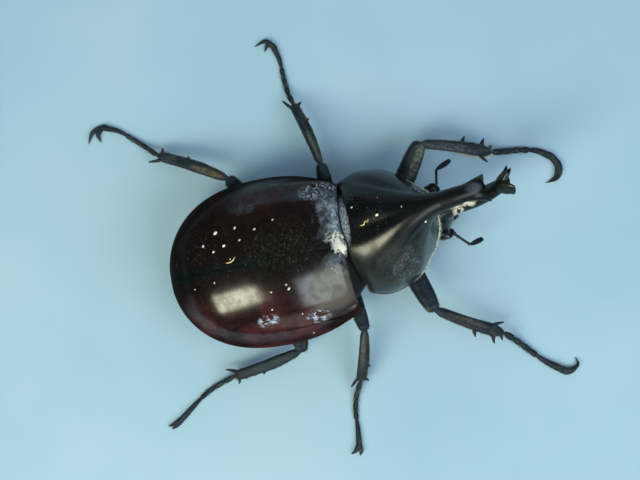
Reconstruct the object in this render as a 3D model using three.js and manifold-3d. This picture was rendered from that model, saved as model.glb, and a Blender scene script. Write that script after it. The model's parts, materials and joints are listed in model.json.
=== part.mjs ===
// A male rhinoceros beetle, life size, standing on its six feet with the legs spread and the head turned
// a little to its left. Millimetres, +Z up. The head points towards -Y and the beetle's left side is +X.
// The floor is z = 0. Every plate and limb is its own solid. Neighbours keep a hairline gap, which is cut
// after all are in place.
import * as THREE from "three";
import { mergeVertices } from "three/addons/utils/BufferGeometryUtils.js";
import Module from "manifold-3d";

const wasm = await Module();
wasm.setup();

// ---------------------------------------------------------------- driving sizes

const GAP = 0.1; // clear space between two pieces that meet
const FACET = 0.06; // how far a facet may lie off the smooth shape once a piece is cut

// The wing covers, a dome from the shoulders to the tail. y runs backwards from the middle of their front
// edge.
const COVER = {
  rear: 27.9,
  widestAt: 11.5,
  half: 13.4, // half the width of the pair
  shoulder: 10.3, // half the width at the front edge
  sweep: 1.0, // how far the shoulders reach in front of the middle
  crestAt: 10.5,
  top: 18.2,
  shoulderTop: 15.7,
  tail: 7.4, // height of the tip
  widestHeight: [9.2, 8.6, 8.0], // height of the widest line, front to rear
  tuck: 1.4, // how far the edge reaches below the widest line
  thick: 0.8,
  roundness: 0.87,
};

// The underside of the trunk: its lowest line, front to rear, and the ends of its three parts.
const BELLY = {
  line: [4.2, 3.9, 3.8, 3.9, 4.4, 6.0],
  front: 0.3,
  waist: 10.6,
  lastPlate: 24.6,
  rear: 26.7,
};

// The front body turns as one: the prothorax with its horn, and the head. Inside it, forward is measured
// from the middle of its rear edge, and heights from the floor.
const FORE = { x: 1.0, y: -0.2, axisHeight: 9, yaw: 7, roll: 5 };

// The prothorax shield: its edge as [forward, left, height], from the middle of the rear edge round the
// left side.
const SHIELD_EDGE = [
  [0.1, 0, 15.3],
  [0.25, 2.6, 15.0],
  [0.75, 5.4, 13.6],
  [1.45, 7.9, 11.2],
  [2.3, 9.3, 9.3],
  [5.4, 10.05, 8.6],
  [9.6, 9.0, 8.4],
  [12.6, 6.4, 8.4],
  [14.2, 4.5, 9.2],
  [15.0, 2.8, 11.4],
  [15.3, 0, 12.6],
];
const SHIELD_ROOT = { forward: 15.6, height: 17.9, wide: 1.65, deep: 1.7 }; // where the horn leaves the shield

// Legs: hip, knee and ankle, then the foot's line and its two claws, all on the floor under the body.
const LEGS = {
  front_left: {
    kind: "front",
    side: 1,
    coxa: [[5.0, -8.2, 5.8], [5.4, -9.6, 3.8]],
    hip: [5.8, -9.7, 4.2],
    knee: [14.3, -15.2, 8.0],
    ankle: [11.3, -27.2, 2.4],
    foot: [[11.2, -29.6, 0.9], [11.0, -32.2, 0.42], [10.3, -35.0, 0.45], [8.9, -37.1, 0.5]],
    claws: [
      [[7.1, -38.1, 0.6], [5.2, -37.4, 0.5], [4.8, -35.2, 0.2]],
      [[7.4, -37.4, 0.6], [5.9, -36.9, 0.4], [5.5, -35.8, 0.2]],
    ],
  },
  front_right: {
    kind: "front",
    side: -1,
    coxa: [[-1.3, -7.9, 5.8], [-1.3, -9.3, 3.8]],
    hip: [-1.9, -9.2, 4.2],
    knee: [-12.2, -12.3, 8.0],
    ankle: [-18.2, -23.3, 2.4],
    foot: [[-19.8, -25.2, 0.9], [-21.7, -27.0, 0.42], [-24.0, -29.2, 0.45], [-25.6, -31.3, 0.5]],
    claws: [
      [[-26.3, -33.0, 0.6], [-25.6, -34.4, 0.5], [-24.3, -34.3, 0.2]],
      [[-26.5, -32.4, 0.6], [-26.6, -33.9, 0.2]],
    ],
  },
  middle_left: {
    kind: "middle",
    side: 1,
    coxa: [[2.9, 1.6, 5.2], [3.5, 0.6, 3.6]],
    hip: [4.2, 0.4, 3.8],
    knee: [14.0, 0.9, 7.1],
    ankle: [25.5, 3.4, 2.2],
    foot: [[27.9, 3.9, 0.8], [30.6, 4.1, 0.36], [33.5, 4.2, 0.36], [36.0, 4.8, 0.42]],
    claws: [[[37.0, 6.0, 0.6], [36.5, 7.9, 0.2]], [[36.3, 5.7, 0.5], [35.3, 6.4, 0.2]]],
  },
  middle_right: {
    kind: "middle",
    side: -1,
    coxa: [[-2.9, 1.6, 5.2], [-3.5, 0.6, 3.6]],
    hip: [-4.2, 0.2, 3.8],
    knee: [-13.1, -0.9, 6.9],
    ankle: [-21.4, 1.2, 2.2],
    foot: [[-23.4, 2.2, 0.8], [-26.0, 2.9, 0.36], [-28.9, 3.1, 0.36], [-31.4, 3.4, 0.42]],
    claws: [[[-32.4, 4.1, 0.6], [-32.9, 5.0, 0.2]], [[-32.6, 3.3, 0.5], [-33.4, 3.6, 0.2]]],
  },
  hind_left: {
    kind: "hind",
    side: 1,
    coxa: [[1.7, 8.2, 4.3], [8.6, 9.2, 5.2]],
    hip: [3.9, 9.6, 3.6],
    knee: [14.7, 15.9, 6.3],
    ankle: [21.3, 26.9, 2.2],
    foot: [[23.2, 28.7, 0.8], [25.0, 30.6, 0.36], [26.8, 32.7, 0.36], [27.9, 35.2, 0.42]],
    claws: [[[27.4, 37.0, 0.6], [25.6, 38.1, 0.2]], [[26.9, 36.2, 0.5], [25.5, 35.9, 0.2]]],
  },
  hind_right: {
    kind: "hind",
    side: -1,
    coxa: [[-1.7, 8.2, 4.3], [-8.6, 9.0, 5.2]],
    hip: [-3.9, 9.4, 3.6],
    knee: [-14.6, 9.6, 6.2],
    ankle: [-16.7, 21.2, 2.2],
    foot: [[-17.5, 23.8, 0.8], [-18.5, 26.2, 0.36], [-20.0, 28.5, 0.36], [-21.8, 30.9, 0.42]],
    claws: [[[-22.5, 32.4, 0.6], [-22.7, 33.6, 0.2]], [[-23.0, 31.9, 0.5], [-23.9, 32.7, 0.2]]],
  },
};

// Half widths and half depths of each leg piece, evenly spaced from the body outwards.
const LEG_SHAPE = {
  front: {
    coxa: 1.9,
    femur: { wide: [0.8, 1.45, 1.65, 1.6, 1.45, 1.0], deep: [0.8, 1.2, 1.3, 1.2, 1.1, 0.8] },
    tibia: { wide: [0.6, 0.8, 0.9, 1.05, 1.2, 1.1], deep: [0.55, 0.75, 0.75, 0.75, 0.7, 0.6] },
    teeth: [[0.6, 1.2], [0.87, 1.3], [0.98, 0.5]], // [share of the shin's length, reach]
    spur: 0.82, // share of the shin's length where it leaves the inner edge
    foot: 0.52,
  },
  middle: {
    coxa: 1.8,
    femur: { wide: [0.7, 1.15, 1.25, 1.2, 1.1, 0.8], deep: [0.7, 1.0, 1.1, 1.05, 1.0, 0.7] },
    tibia: { wide: [0.5, 0.75, 0.9, 0.95, 0.9, 0.85], deep: [0.5, 0.7, 0.75, 0.75, 0.7, 0.6] },
    teeth: [[0.7, 0.5], [0.97, 0.5]],
    spur: 0.94,
    foot: 0.42,
  },
  hind: {
    coxa: 1.5,
    femur: { wide: [0.7, 1.3, 1.5, 1.45, 1.3, 0.9], deep: [0.7, 1.0, 1.15, 1.1, 1.05, 0.7] },
    tibia: { wide: [0.5, 0.85, 1.05, 1.0, 0.95, 0.95], deep: [0.5, 0.7, 0.8, 0.8, 0.75, 0.65] },
    teeth: [[0.6, 0.5], [0.97, 0.5]],
    spur: 0.94,
    foot: 0.42,
  },
};

// ---------------------------------------------------------------- materials

const finish = (color, roughness) => new THREE.MeshStandardMaterial({ color, roughness, metalness: 0 });
const SHELL_BROWN = finish(0x2a1012, 0.25); // wing covers
const SHELL_BLACK = finish(0x10120f, 0.3); // shield, horns and head
const UNDER_BROWN = finish(0x1f1410, 0.5); // underside
const LEG_BLACK = finish(0x17130f, 0.4); // legs, feelers
const EYE_BLACK = finish(0x060606, 0.1);

// ---------------------------------------------------------------- curves and skins

// A smooth value through evenly spaced numbers, for t from 0 to 1.
function through(values, t) {
  const last = values.length - 1;
  const x = THREE.MathUtils.clamp(t, 0, 1) * last;
  const i = Math.min(Math.floor(x), last - 1);
  const u = x - i;
  const b = values[i];
  const c = values[i + 1];
  const a = i > 0 ? values[i - 1] : 2 * b - c;
  const d = i + 2 <= last ? values[i + 2] : 2 * c - b;
  return b + 0.5 * u * (c - a + u * (2 * a - 5 * b + 4 * c - d + u * (3 * (b - c) + d - a)));
}

// The same through points.
function along(points, t) {
  const axis = (k) => through(points.map((p) => p[k]), t);
  return new THREE.Vector3(axis(0), axis(1), axis(2));
}

const power = (value, exponent) => Math.sign(value) * Math.abs(value) ** exponent;

// A closed skin over a stack of rings, each ring an array of as many points. An end is closed by a fan to
// its middle, or, where the ring is a thin crescent that runs out and back, by a strip across it.
function skin(rings, crescent = false) {
  const n = rings[0].length;
  const points = rings.flat();
  const index = [];
  for (let j = 0; j + 1 < rings.length; j++) {
    for (let k = 0; k < n; k++) {
      const a = j * n + k;
      const b = j * n + ((k + 1) % n);
      index.push(a, b, b + n, a, b + n, a + n);
    }
  }
  for (const start of [0, (rings.length - 1) * n]) {
    const turn = (a, b, c) => (start ? index.push(a, b, c) : index.push(a, c, b));
    if (crescent) {
      for (let k = 0; k + 1 < n / 2; k++) {
        const [a, b, c, d] = [k, k + 1, n - 2 - k, n - 1 - k].map((i) => start + i);
        turn(a, b, c);
        turn(a, c, d);
      }
      continue;
    }
    const middle = new THREE.Vector3();
    for (let k = 0; k < n; k++) middle.addScaledVector(points[start + k], 1 / n);
    points.push(middle);
    for (let k = 0; k < n; k++) turn(start + k, start + ((k + 1) % n), points.length - 1);
  }
  const geometry = new THREE.BufferGeometry().setFromPoints(points).setIndex(index);
  return volume(geometry) < 0 ? turnedOut(geometry) : geometry;
}

function volume(geometry) {
  const position = geometry.getAttribute("position");
  const [a, b, c] = [0, 1, 2].map(() => new THREE.Vector3());
  let sum = 0;
  for (let i = 0; i < geometry.index.count; i += 3) {
    [a, b, c].forEach((v, k) => v.fromBufferAttribute(position, geometry.index.getX(i + k)));
    sum += a.dot(b.cross(c)) / 6;
  }
  return sum;
}

function turnedOut(geometry) {
  const old = geometry.index.array;
  return geometry.setIndex(Array.from(old, (_, i) => old[i - (i % 3) + ((3 - (i % 3)) % 3)]));
}

// A limb along a line of points. wide and deep are its half sizes across and along "up", evenly spaced.
function limb({ line, wide, deep = wide, up = [0, 0, 1], sides = 8, steps = 8, blunt = 0.08 }) {
  const rings = [];
  const upward = new THREE.Vector3(...up);
  for (let j = 0; j <= steps; j++) {
    const t = 0.5 - 0.5 * Math.cos((Math.PI * j) / steps);
    const centre = along(line, t);
    const tangent = along(line, t + 0.01).sub(along(line, t - 0.01)).normalize();
    const across = tangent.clone().cross(upward).normalize();
    const out = across.clone().cross(tangent);
    const near = Math.min(1, Math.min(t, 1 - t) / blunt + 0.15);
    const swell = Math.sqrt(1 - (1 - near) ** 2);
    rings.push(
      Array.from({ length: sides }, (_, k) => {
        const angle = (2 * Math.PI * (k + 0.5)) / sides;
        return centre
          .clone()
          .addScaledVector(across, Math.cos(angle) * through(wide, t) * swell)
          .addScaledVector(out, Math.sin(angle) * through(deep, t) * swell);
      }),
    );
  }
  return skin(rings);
}

// A barrel along y: at each station its half width, the height of its widest line, its top and its bottom.
function barrel({ from, to, half, mid, top, bottom, steps, sides = 20, roundness = 0.9 }) {
  const rings = [];
  for (let j = 0; j <= steps; j++) {
    const t = j / steps;
    const y = THREE.MathUtils.lerp(from, to, t);
    const [h, m, high, low] = [half, mid, top, bottom].map((f) => (Array.isArray(f) ? through(f, t) : f(y)));
    rings.push(
      Array.from({ length: sides }, (_, k) => {
        const angle = (2 * Math.PI * k) / sides;
        const reach = Math.cos(angle) > 0 ? high - m : m - low;
        const exponent = Math.cos(angle) > 0 ? roundness : 1;
        return new THREE.Vector3(
          h * power(Math.sin(angle), exponent),
          y,
          m + reach * power(Math.cos(angle), exponent),
        );
      }),
    );
  }
  return skin(rings);
}

// ---------------------------------------------------------------- solids

function solidOf(geometry) {
  const bare = new THREE.BufferGeometry().setAttribute("position", geometry.getAttribute("position"));
  if (geometry.index) bare.setIndex(geometry.index);
  const merged = mergeVertices(bare, 1e-4);
  return new wasm.Manifold(
    new wasm.Mesh({
      numProp: 3,
      vertProperties: new Float32Array(merged.getAttribute("position").array),
      triVerts: new Uint32Array(merged.index.array),
    }),
  );
}

// The largest body of a solid, as a geometry. Slivers that a cut leaves behind are dropped.
function geometryOf(solid) {
  const bodies = solid.simplify(FACET).decompose().sort((a, b) => b.volume() - a.volume());
  const mesh = bodies[0].getMesh();
  const position = new THREE.BufferAttribute(new Float32Array(mesh.vertProperties), 3);
  const index = new THREE.BufferAttribute(new Uint32Array(mesh.triVerts), 1);
  return new THREE.BufferGeometry().setAttribute("position", position).setIndex(index);
}

const joined = (first, ...others) =>
  geometryOf(others.reduce((sum, geometry) => sum.add(solidOf(geometry)), solidOf(first)));

// The same shape, bigger by a gap all round.
function swollen(geometry, gap) {
  const copy = mergeVertices(
    new THREE.BufferGeometry()
      .setAttribute("position", geometry.getAttribute("position").clone())
      .setIndex(geometry.index.clone()),
    1e-4,
  );
  copy.computeVertexNormals();
  const position = copy.getAttribute("position");
  const normal = copy.getAttribute("normal");
  for (let i = 0; i < position.count; i++) {
    position.setXYZ(
      i,
      position.getX(i) + gap * normal.getX(i),
      position.getY(i) + gap * normal.getY(i),
      position.getZ(i) + gap * normal.getZ(i),
    );
  }
  return copy;
}

// Cuts other meshes out of a mesh, with the gap, wherever each of them stands in the scene.
function carve(mesh, ...others) {
  const home = mesh.matrixWorld.clone().invert();
  let solid = solidOf(mesh.geometry);
  for (const other of others) {
    const tool = swollen(other.geometry, GAP).applyMatrix4(other.matrixWorld).applyMatrix4(home);
    solid = solid.subtract(solidOf(tool));
  }
  mesh.geometry = geometryOf(solid);
}

const beetle = new THREE.Group();
const pieces = {};

function piece(name, geometry, material, parent = beetle) {
  const mesh = new THREE.Mesh(geometry, material);
  mesh.name = name;
  parent.add(mesh);
  pieces[name] = mesh;
  return mesh;
}

// ---------------------------------------------------------------- wing covers and trunk

const backShare = (y, start, end) => THREE.MathUtils.clamp((y - start) / (end - start + 0.12), 0, 1);

function coverHalf(y) {
  const { half, shoulder, widestAt, rear } = COVER;
  if (y < widestAt) return half - (half - shoulder) * ((widestAt - y) / widestAt) ** 2;
  return half * Math.sqrt(1 - backShare(y, widestAt, rear) ** 2.4);
}

const coverMid = (y) => through(COVER.widestHeight, y / COVER.rear);

function coverTop(y) {
  const { top, shoulderTop, crestAt, rear, tail } = COVER;
  if (y < crestAt) return top - (top - shoulderTop) * ((crestAt - y) / crestAt) ** 2;
  return tail + (top - tail) * (1 - backShare(y, crestAt, rear) ** 2.5) ** 0.55;
}

// A point of the dome: s runs from the front edge to the tail, a is the angle from the crest round to the edge.
function dome(s, a) {
  const y = COVER.rear * (1 - (1 - s) ** 1.6);
  const mid = coverMid(y);
  const down = Math.cos(a) < 0;
  const reach = down ? COVER.tuck / 0.36 : coverTop(y) - mid;
  const x = coverHalf(y) * power(Math.sin(a), COVER.roundness);
  const forward = COVER.sweep * (1 - s) ** 3 * (x / COVER.shoulder) ** 2;
  return new THREE.Vector3(x, y - forward, mid + Math.max(reach, 0.1) * power(Math.cos(a), COVER.roundness));
}

function domeNormal(s, a) {
  const e = 0.004;
  const alongBack = dome(s + e, a).sub(dome(s - e, a));
  return dome(s, a + e)
    .sub(dome(s, a - e))
    .cross(alongBack)
    .normalize();
}

// One wing cover: a shell from the seam down the back to the tucked edge.
function coverGeometry() {
  const [rows, columns] = [13, 8];
  const seam = 0.006; // the angle that leaves a hairline between the two covers
  const edge = THREE.MathUtils.degToRad(108);
  const rings = [];
  for (let j = 0; j <= rows; j++) {
    const s = 0.001 + (0.993 * j) / rows;
    const outer = [];
    const inner = [];
    for (let k = 0; k <= columns; k++) {
      const a = THREE.MathUtils.lerp(seam, edge, k / columns);
      const point = dome(s, a);
      outer.push(point);
      inner.unshift(point.clone().addScaledVector(domeNormal(s, a), -COVER.thick));
    }
    rings.push([...outer, ...inner].map((p) => new THREE.Vector3(Math.max(p.x, GAP / 2), p.y, p.z)));
  }
  return skin(rings, true);
}

const mirrored = (geometry) => turnedOut(geometry.clone().scale(-1, 1, 1));

piece("elytron_left", coverGeometry(), SHELL_BROWN);
piece("elytron_right", mirrored(coverGeometry()), SHELL_BROWN);

const underCover = COVER.thick + 3 * GAP;
const trunkHalf = (y) => coverHalf(y + 0.7) - underCover - 0.5;
const trunkTop = (y) => Math.max(coverTop(y + 0.7) - underCover, coverMid(y) - 0.6);
const trunkMid = (y) => coverMid(y) - 0.8;
const bellyLine = (y) => through(BELLY.line, y / COVER.rear);

// The belly plates overlap like roof tiles: each starts a little proud of the one before it.
function belliedLine(y) {
  const plates = 5;
  const share = ((y - BELLY.waist) / (BELLY.lastPlate - BELLY.waist)) * plates;
  return bellyLine(y) + 0.28 * (share - Math.floor(share));
}

function trunkPart(from, to, steps, bottom = bellyLine) {
  return barrel({ from, to, steps, half: trunkHalf, mid: trunkMid, top: trunkTop, bottom });
}

piece("metathorax", trunkPart(BELLY.front, BELLY.waist, 5), UNDER_BROWN);
piece("abdomen", trunkPart(BELLY.waist + GAP, BELLY.lastPlate, 10, belliedLine), UNDER_BROWN);
piece("pygidium", trunkPart(BELLY.lastPlate + GAP, BELLY.rear, 4), UNDER_BROWN);

piece(
  "mesothorax",
  barrel({
    from: -2.6,
    to: BELLY.front - GAP,
    half: [6.2, 7.8, 8.8],
    mid: [8.6, 8.4, 8.2],
    top: [12.2, 13.4, 14.2],
    bottom: [5.0, 4.6, 4.2],
    steps: 3,
  }),
  UNDER_BROWN,
);

piece(
  "scutellum",
  limb({
    line: [[0, -0.35, 15.0], [0, 1.0, 15.4], [0, 3.1, 15.9]],
    wide: [1.9, 1.75, 0.25],
    deep: [0.75, 0.7, 0.4],
    sides: 8,
    steps: 5,
    blunt: 0.12,
  }),
  SHELL_BROWN,
);

// ---------------------------------------------------------------- prothorax and head

const foreBody = new THREE.Group();
foreBody.name = "fore_body";
foreBody.position.set(FORE.x, FORE.y, FORE.axisHeight);
foreBody.rotation.set(0, THREE.MathUtils.degToRad(FORE.roll), THREE.MathUtils.degToRad(FORE.yaw), "ZYX");
beetle.add(foreBody);

const fore = (forward, left, height) => new THREE.Vector3(left, -forward, height - FORE.axisHeight);
const foreLine = (...points) => points.map((p) => fore(...p).toArray());

// The shield: from a ring round the horn's root, curved strips sweep out to the edge. "around" runs from
// the rear over the left side to the front, and back over the right.
function shieldGeometry() {
  const [columns, rows] = [24, 9];
  const root = SHIELD_ROOT;
  const strips = Array.from({ length: columns }, (_, k) => {
    const turn = (2 * Math.PI * k) / columns;
    const around = turn <= Math.PI ? turn / Math.PI : 2 - turn / Math.PI;
    const side = turn <= Math.PI ? 1 : -1;
    const [edgeForward, edgeLeft, edgeHeight] = along(SHIELD_EDGE, around).toArray();
    const edge = fore(edgeForward, side * edgeLeft, edgeHeight);
    const start = fore(root.forward, root.wide * Math.sin(turn), root.height + root.deep * Math.cos(turn));
    const leave = fore(
      root.forward - through([6.2, 5.4, 4.2, 2.2, 1.6], around),
      root.wide * Math.sin(turn) * 1.25,
      root.height + root.deep * Math.cos(turn) + through([0.2, -0.1, -0.9, -1.0, -0.4], around),
    );
    const arrive = fore(
      edgeForward + through([5.2, 2.2, 0.2, -0.6, -0.9], around),
      side * (edgeLeft + through([0, 0.4, 0.7, 0.5, 0], around)),
      edgeHeight + through([2.3, 3.8, 5.4, 3.4, 2.0], around),
    );
    const sweep = new THREE.CubicBezierCurve3(start, leave, arrive, edge);
    const strip = Array.from({ length: rows + 1 }, (_, j) => sweep.getPoint(j / rows));
    // Below the edge the sides fold in to the breast.
    const low = (narrow, height) =>
      fore(THREE.MathUtils.lerp(8, edgeForward, narrow), side * edgeLeft * narrow, height);
    return [...strip, low(0.93, Math.min(edgeHeight, 7.4)), low(0.78, 5.6), low(0.45, 4.7)];
  });
  const rings = Array.from({ length: strips[0].length }, (_, j) => strips.map((strip) => strip[j].clone()));
  return skin(rings);
}

piece("pronotum", shieldGeometry(), SHELL_BLACK, foreBody);

// The horn of the shield: forward over the head, forked and bent down at the tip.
function shieldHorn() {
  const root = SHIELD_ROOT;
  const shaft = limb({
    line: foreLine([root.forward + GAP, 0, root.height], [18.2, 0, 18.5], [20.6, 0, 18.6], [22.9, 0, 18.0]),
    wide: [root.wide, 1.45, 1.35, 1.5],
    deep: [root.deep, 1.35, 1.05, 0.6],
    sides: 12,
    steps: 6,
    blunt: 0.001,
  });
  const prong = (side) =>
    limb({
      line: foreLine([21.2, side * 0.8, 18.4], [22.4, side * 1.4, 18.1], [23.3, side * 2.2, 16.9]),
      wide: [0.9, 0.8, 0.25],
      deep: [0.75, 0.6, 0.25],
      sides: 8,
      steps: 4,
    });
  return joined(shaft, prong(1), prong(-1));
}

piece("thoracic_horn", shieldHorn(), SHELL_BLACK, foreBody);

// The head: widest at the eyes, then short and narrow to the mouth, which the head's horn hides from
// above.
piece(
  "head",
  barrel({
    from: -18.5,
    to: -13.6,
    half: [1.1, 2.2, 3.0, 3.5, 3.8, 3.8, 3.6],
    mid: [6.3, 6.7, 7.1, 7.5, 7.8, 8.0, 8.0].map((z) => z - FORE.axisHeight),
    top: [7.4, 8.8, 9.8, 10.4, 10.8, 10.9, 10.8].map((z) => z - FORE.axisHeight),
    bottom: [5.1, 4.6, 4.4, 4.5, 4.7, 5.0, 5.4].map((z) => z - FORE.axisHeight),
    steps: 7,
    sides: 16,
  }),
  SHELL_BLACK,
  foreBody,
);

// The head's horn: forward, then up in a curve, to a broad fork with a pointed left tip and a blunt right
// one.
function headHorn() {
  const shaft = limb({
    line: foreLine(
      [16.4, 0, 9.2],
      [18.8, -0.1, 9.9],
      [21.6, -0.3, 11.6],
      [24.2, -0.35, 14.6],
      [26.8, -0.1, 17.7],
    ),
    wide: [1.6, 1.3, 1.4, 1.35, 1.2],
    deep: [1.5, 1.3, 1.1, 0.85, 0.5],
    up: [0, 1, 0],
    sides: 8,
    steps: 8,
  });
  const tip = (middle, end, blunt) =>
    limb({
      line: foreLine([24.9, 0, 16.2], middle, end),
      wide: [1.0, 0.9, blunt],
      deep: [0.6, 0.5, 0.35],
      sides: 8,
      steps: 5,
    });
  return joined(
    shaft,
    tip([26.4, 1.0, 17.5], [27.1, 2.2, 18.4], 0.5),
    tip([26.2, -1.2, 17.5], [27.3, -2.2, 18.1], 0.6),
  );
}

piece("cephalic_horn", headHorn(), SHELL_BLACK, foreBody);

for (const [name, side] of [["left", 1], ["right", -1]]) {
  const eye = piece(`eye_${name}`, new THREE.SphereGeometry(1.2, 10, 6), EYE_BLACK, foreBody);
  eye.geometry = mergeVertices(eye.geometry.deleteAttribute("normal").deleteAttribute("uv"));
  eye.position.copy(fore(15.6, side * 3.5, 8.1));

  piece(
    `mandible_${name}`,
    limb({
      line: foreLine([17.4, side * 0.9, 5.2], [18.3, side * 1.0, 4.7], [19.1, side * 0.5, 4.6]),
      wide: [0.5, 0.5, 0.3],
      deep: [0.45, 0.45, 0.3],
      sides: 6,
      steps: 4,
    }),
    SHELL_BLACK,
    foreBody,
  );
  piece(
    `palp_${name}`,
    limb({
      line: foreLine([16.4, side * 1.3, 4.5], [17.0, side * 1.9, 3.6], [17.9, side * 1.7, 2.9]),
      wide: [0.3, 0.28, 0.32],
      sides: 6,
      steps: 4,
    }),
    LEG_BLACK,
    foreBody,
  );
  const bend = side > 0 ? [17.2, 4.4, 6.9] : [17.6, -4.2, 6.8];
  const elbow = side > 0 ? [18.0, 6.9, 6.9] : [19.4, -6.3, 5.8];
  const clubTip = side > 0 ? [20.8, 7.8, 6.2] : [21.8, -5.9, 5.1];
  piece(
    `antenna_${name}`,
    limb({
      line: foreLine([16.6, side * 2.6, 7.0], bend, elbow),
      wide: [0.45, 0.32, 0.3],
      sides: 6,
      steps: 5,
    }),
    LEG_BLACK,
    foreBody,
  );
  piece(
    `antenna_club_${name}`,
    limb({
      line: foreLine(elbow, elbow.map((v, k) => (v + clubTip[k]) / 2), clubTip),
      wide: [0.35, 0.6, 0.4],
      deep: [0.35, 0.5, 0.35],
      sides: 8,
      steps: 4,
      blunt: 0.2,
    }),
    LEG_BLACK,
    foreBody,
  );
}

// ---------------------------------------------------------------- legs

// Stands a mesh modelled along +X, with its outer edge towards +Y, between two points.
function stand(mesh, from, to, outward) {
  const a = new THREE.Vector3(...from);
  const x = new THREE.Vector3(...to).sub(a).normalize();
  const z = x.clone().cross(new THREE.Vector3(...outward)).normalize();
  const y = z.clone().cross(x);
  mesh.position.copy(a);
  mesh.quaternion.setFromRotationMatrix(new THREE.Matrix4().makeBasis(x, y, z));
}

const span = (from, to) => new THREE.Vector3(...from).distanceTo(new THREE.Vector3(...to));

function tibiaGeometry(length, shape) {
  const line = [[0, 0, 0], [length / 2, 0.25, 0], [length, 0, 0]];
  const shin = limb({ line, ...shape.tibia, sides: 8, steps: 6 });
  const teeth = shape.teeth.map(([share, reach]) => {
    const x = share * length;
    const base = through(shape.tibia.wide, share) - 0.6;
    return limb({
      line: [[x - 0.3, base, 0], [x, base + 0.6 + reach * 0.45, 0], [x + 0.35, base + 0.6 + reach, 0]],
      wide: [0.62, 0.42, 0.22],
      deep: [0.4, 0.32, 0.2],
      sides: 4,
      steps: 3,
    });
  });
  // The spur near the end of the shin, on the inner side.
  const heel = shape.spur * length;
  const edge = -through(shape.tibia.wide, shape.spur);
  const spur = limb({
    line: [[heel, edge + 0.4, 0], [heel + 0.9, edge - 0.1, -0.1], [heel + 1.9, edge - 0.6, -0.3]],
    wide: [0.3, 0.3, 0.25],
    sides: 5,
    steps: 3,
  });
  return joined(shin, ...teeth, spur);
}

// The foot: five joints, each wider at its far end, and two hooked claws. Its underside is flat on the floor.
function footGeometry(leg, size) {
  const line = [leg.ankle, ...leg.foot];
  const joints = 5;
  const beads = Array.from({ length: 2 * joints - 1 }, (_, j) => size * (j % 2 === 0 ? 0.7 : 1.1));
  const wide = [...beads, size * 1.1, size * 1.25]; // the last joint swells to carry the claws
  const toe = limb({ line, wide, deep: wide.map((r) => r * 0.9), sides: 6, steps: 10, blunt: 0.02 });
  const last = leg.foot[leg.foot.length - 1];
  const before = along(line, 0.93).toArray();
  const claws = leg.claws.map((points) =>
    limb({
      line: [before, last, ...points],
      wide: [size * 1.1, size * 1.0, size * 0.7, 0.28, 0.22].slice(0, points.length + 2),
      sides: 6,
      steps: 6,
    }),
  );
  const geometry = joined(toe, ...claws);
  const position = geometry.getAttribute("position");
  for (let i = 0; i < position.count; i++) position.setZ(i, Math.max(position.getZ(i), 0));
  return geometry.translate(...leg.ankle.map((v) => -v));
}

for (const [name, leg] of Object.entries(LEGS)) {
  const shape = LEG_SHAPE[leg.kind];
  const hip = limb({ line: leg.coxa, wide: [shape.coxa, shape.coxa], sides: 8, steps: 4, blunt: 0.45 });
  piece(`coxa_${name}`, hip, LEG_BLACK);

  const thigh = span(leg.hip, leg.knee);
  const line = [[0, 0, 0], [thigh / 2, 0, 0], [thigh + 0.4, 0, 0]];
  const bar = limb({ line, ...shape.femur, sides: 10, steps: 7, blunt: 0.06 });
  const femur = piece(`femur_${name}`, bar, LEG_BLACK);
  stand(femur, leg.hip, leg.knee, leg.kind === "front" ? [0, -1, 0] : [0, 1, 0]);

  const tibia = piece(`tibia_${name}`, tibiaGeometry(span(leg.knee, leg.ankle), shape), LEG_BLACK);
  const outward = { front: [leg.side, 0, 0], middle: [0, -1, 0], hind: [leg.side, -0.6, 0] }[leg.kind];
  stand(tibia, leg.knee, leg.ankle, outward);

  const foot = piece(`tarsus_${name}`, footGeometry(leg, shape.foot), LEG_BLACK);
  foot.position.set(...leg.ankle);
}

// ---------------------------------------------------------------- hairline cuts

beetle.updateMatrixWorld(true);
const named = (...names) => names.map((name) => pieces[name]);

carve(...named("scutellum", "pronotum"));
carve(...named("mesothorax", "pronotum", "scutellum", "elytron_left", "elytron_right"));
carve(...named("metathorax", "mesothorax", "scutellum"));
carve(...named("elytron_left", "scutellum"));
carve(...named("elytron_right", "scutellum"));

const BODY = {
  front: named("pronotum", "mesothorax"),
  middle: named("metathorax", "mesothorax"),
  hind: named("metathorax", "abdomen"),
};
for (const [name, leg] of Object.entries(LEGS)) {
  carve(...named(`tarsus_${name}`, `tibia_${name}`));
  carve(...named(`tibia_${name}`, `femur_${name}`));
  carve(...named(`femur_${name}`, `coxa_${name}`), ...BODY[leg.kind]);
  carve(pieces[`coxa_${name}`], ...BODY[leg.kind]);
}

carve(...named("thoracic_horn", "pronotum"));
carve(...named("head", "pronotum"));
carve(...named("cephalic_horn", "head", "pronotum"));
for (const side of ["left", "right"]) {
  carve(...named(`antenna_club_${side}`, `antenna_${side}`));
  carve(...named(`eye_${side}`, "head", "pronotum"));
  carve(...named(`antenna_${side}`, "head", `eye_${side}`));
  carve(...named(`mandible_${side}`, "head", "cephalic_horn"));
  carve(...named(`palp_${side}`, "head", `mandible_${side}`));
}

// The part's origin is under the middle of the whole figure.
const bounds = new THREE.Box3().setFromObject(beetle, true);
const centre = bounds.getCenter(new THREE.Vector3());
beetle.position.set(-centre.x, -centre.y, 0);
beetle.name = "rhinoceros_beetle";

export default beetle;
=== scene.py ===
"""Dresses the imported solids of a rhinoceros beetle: shell, horns, legs, feelers, hair and a plain studio."""

import json
import math

import bmesh
import bpy
import numpy as np
from bpy.props import FloatProperty, FloatVectorProperty, IntProperty, PointerProperty
from mathutils import Matrix, Vector

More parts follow.
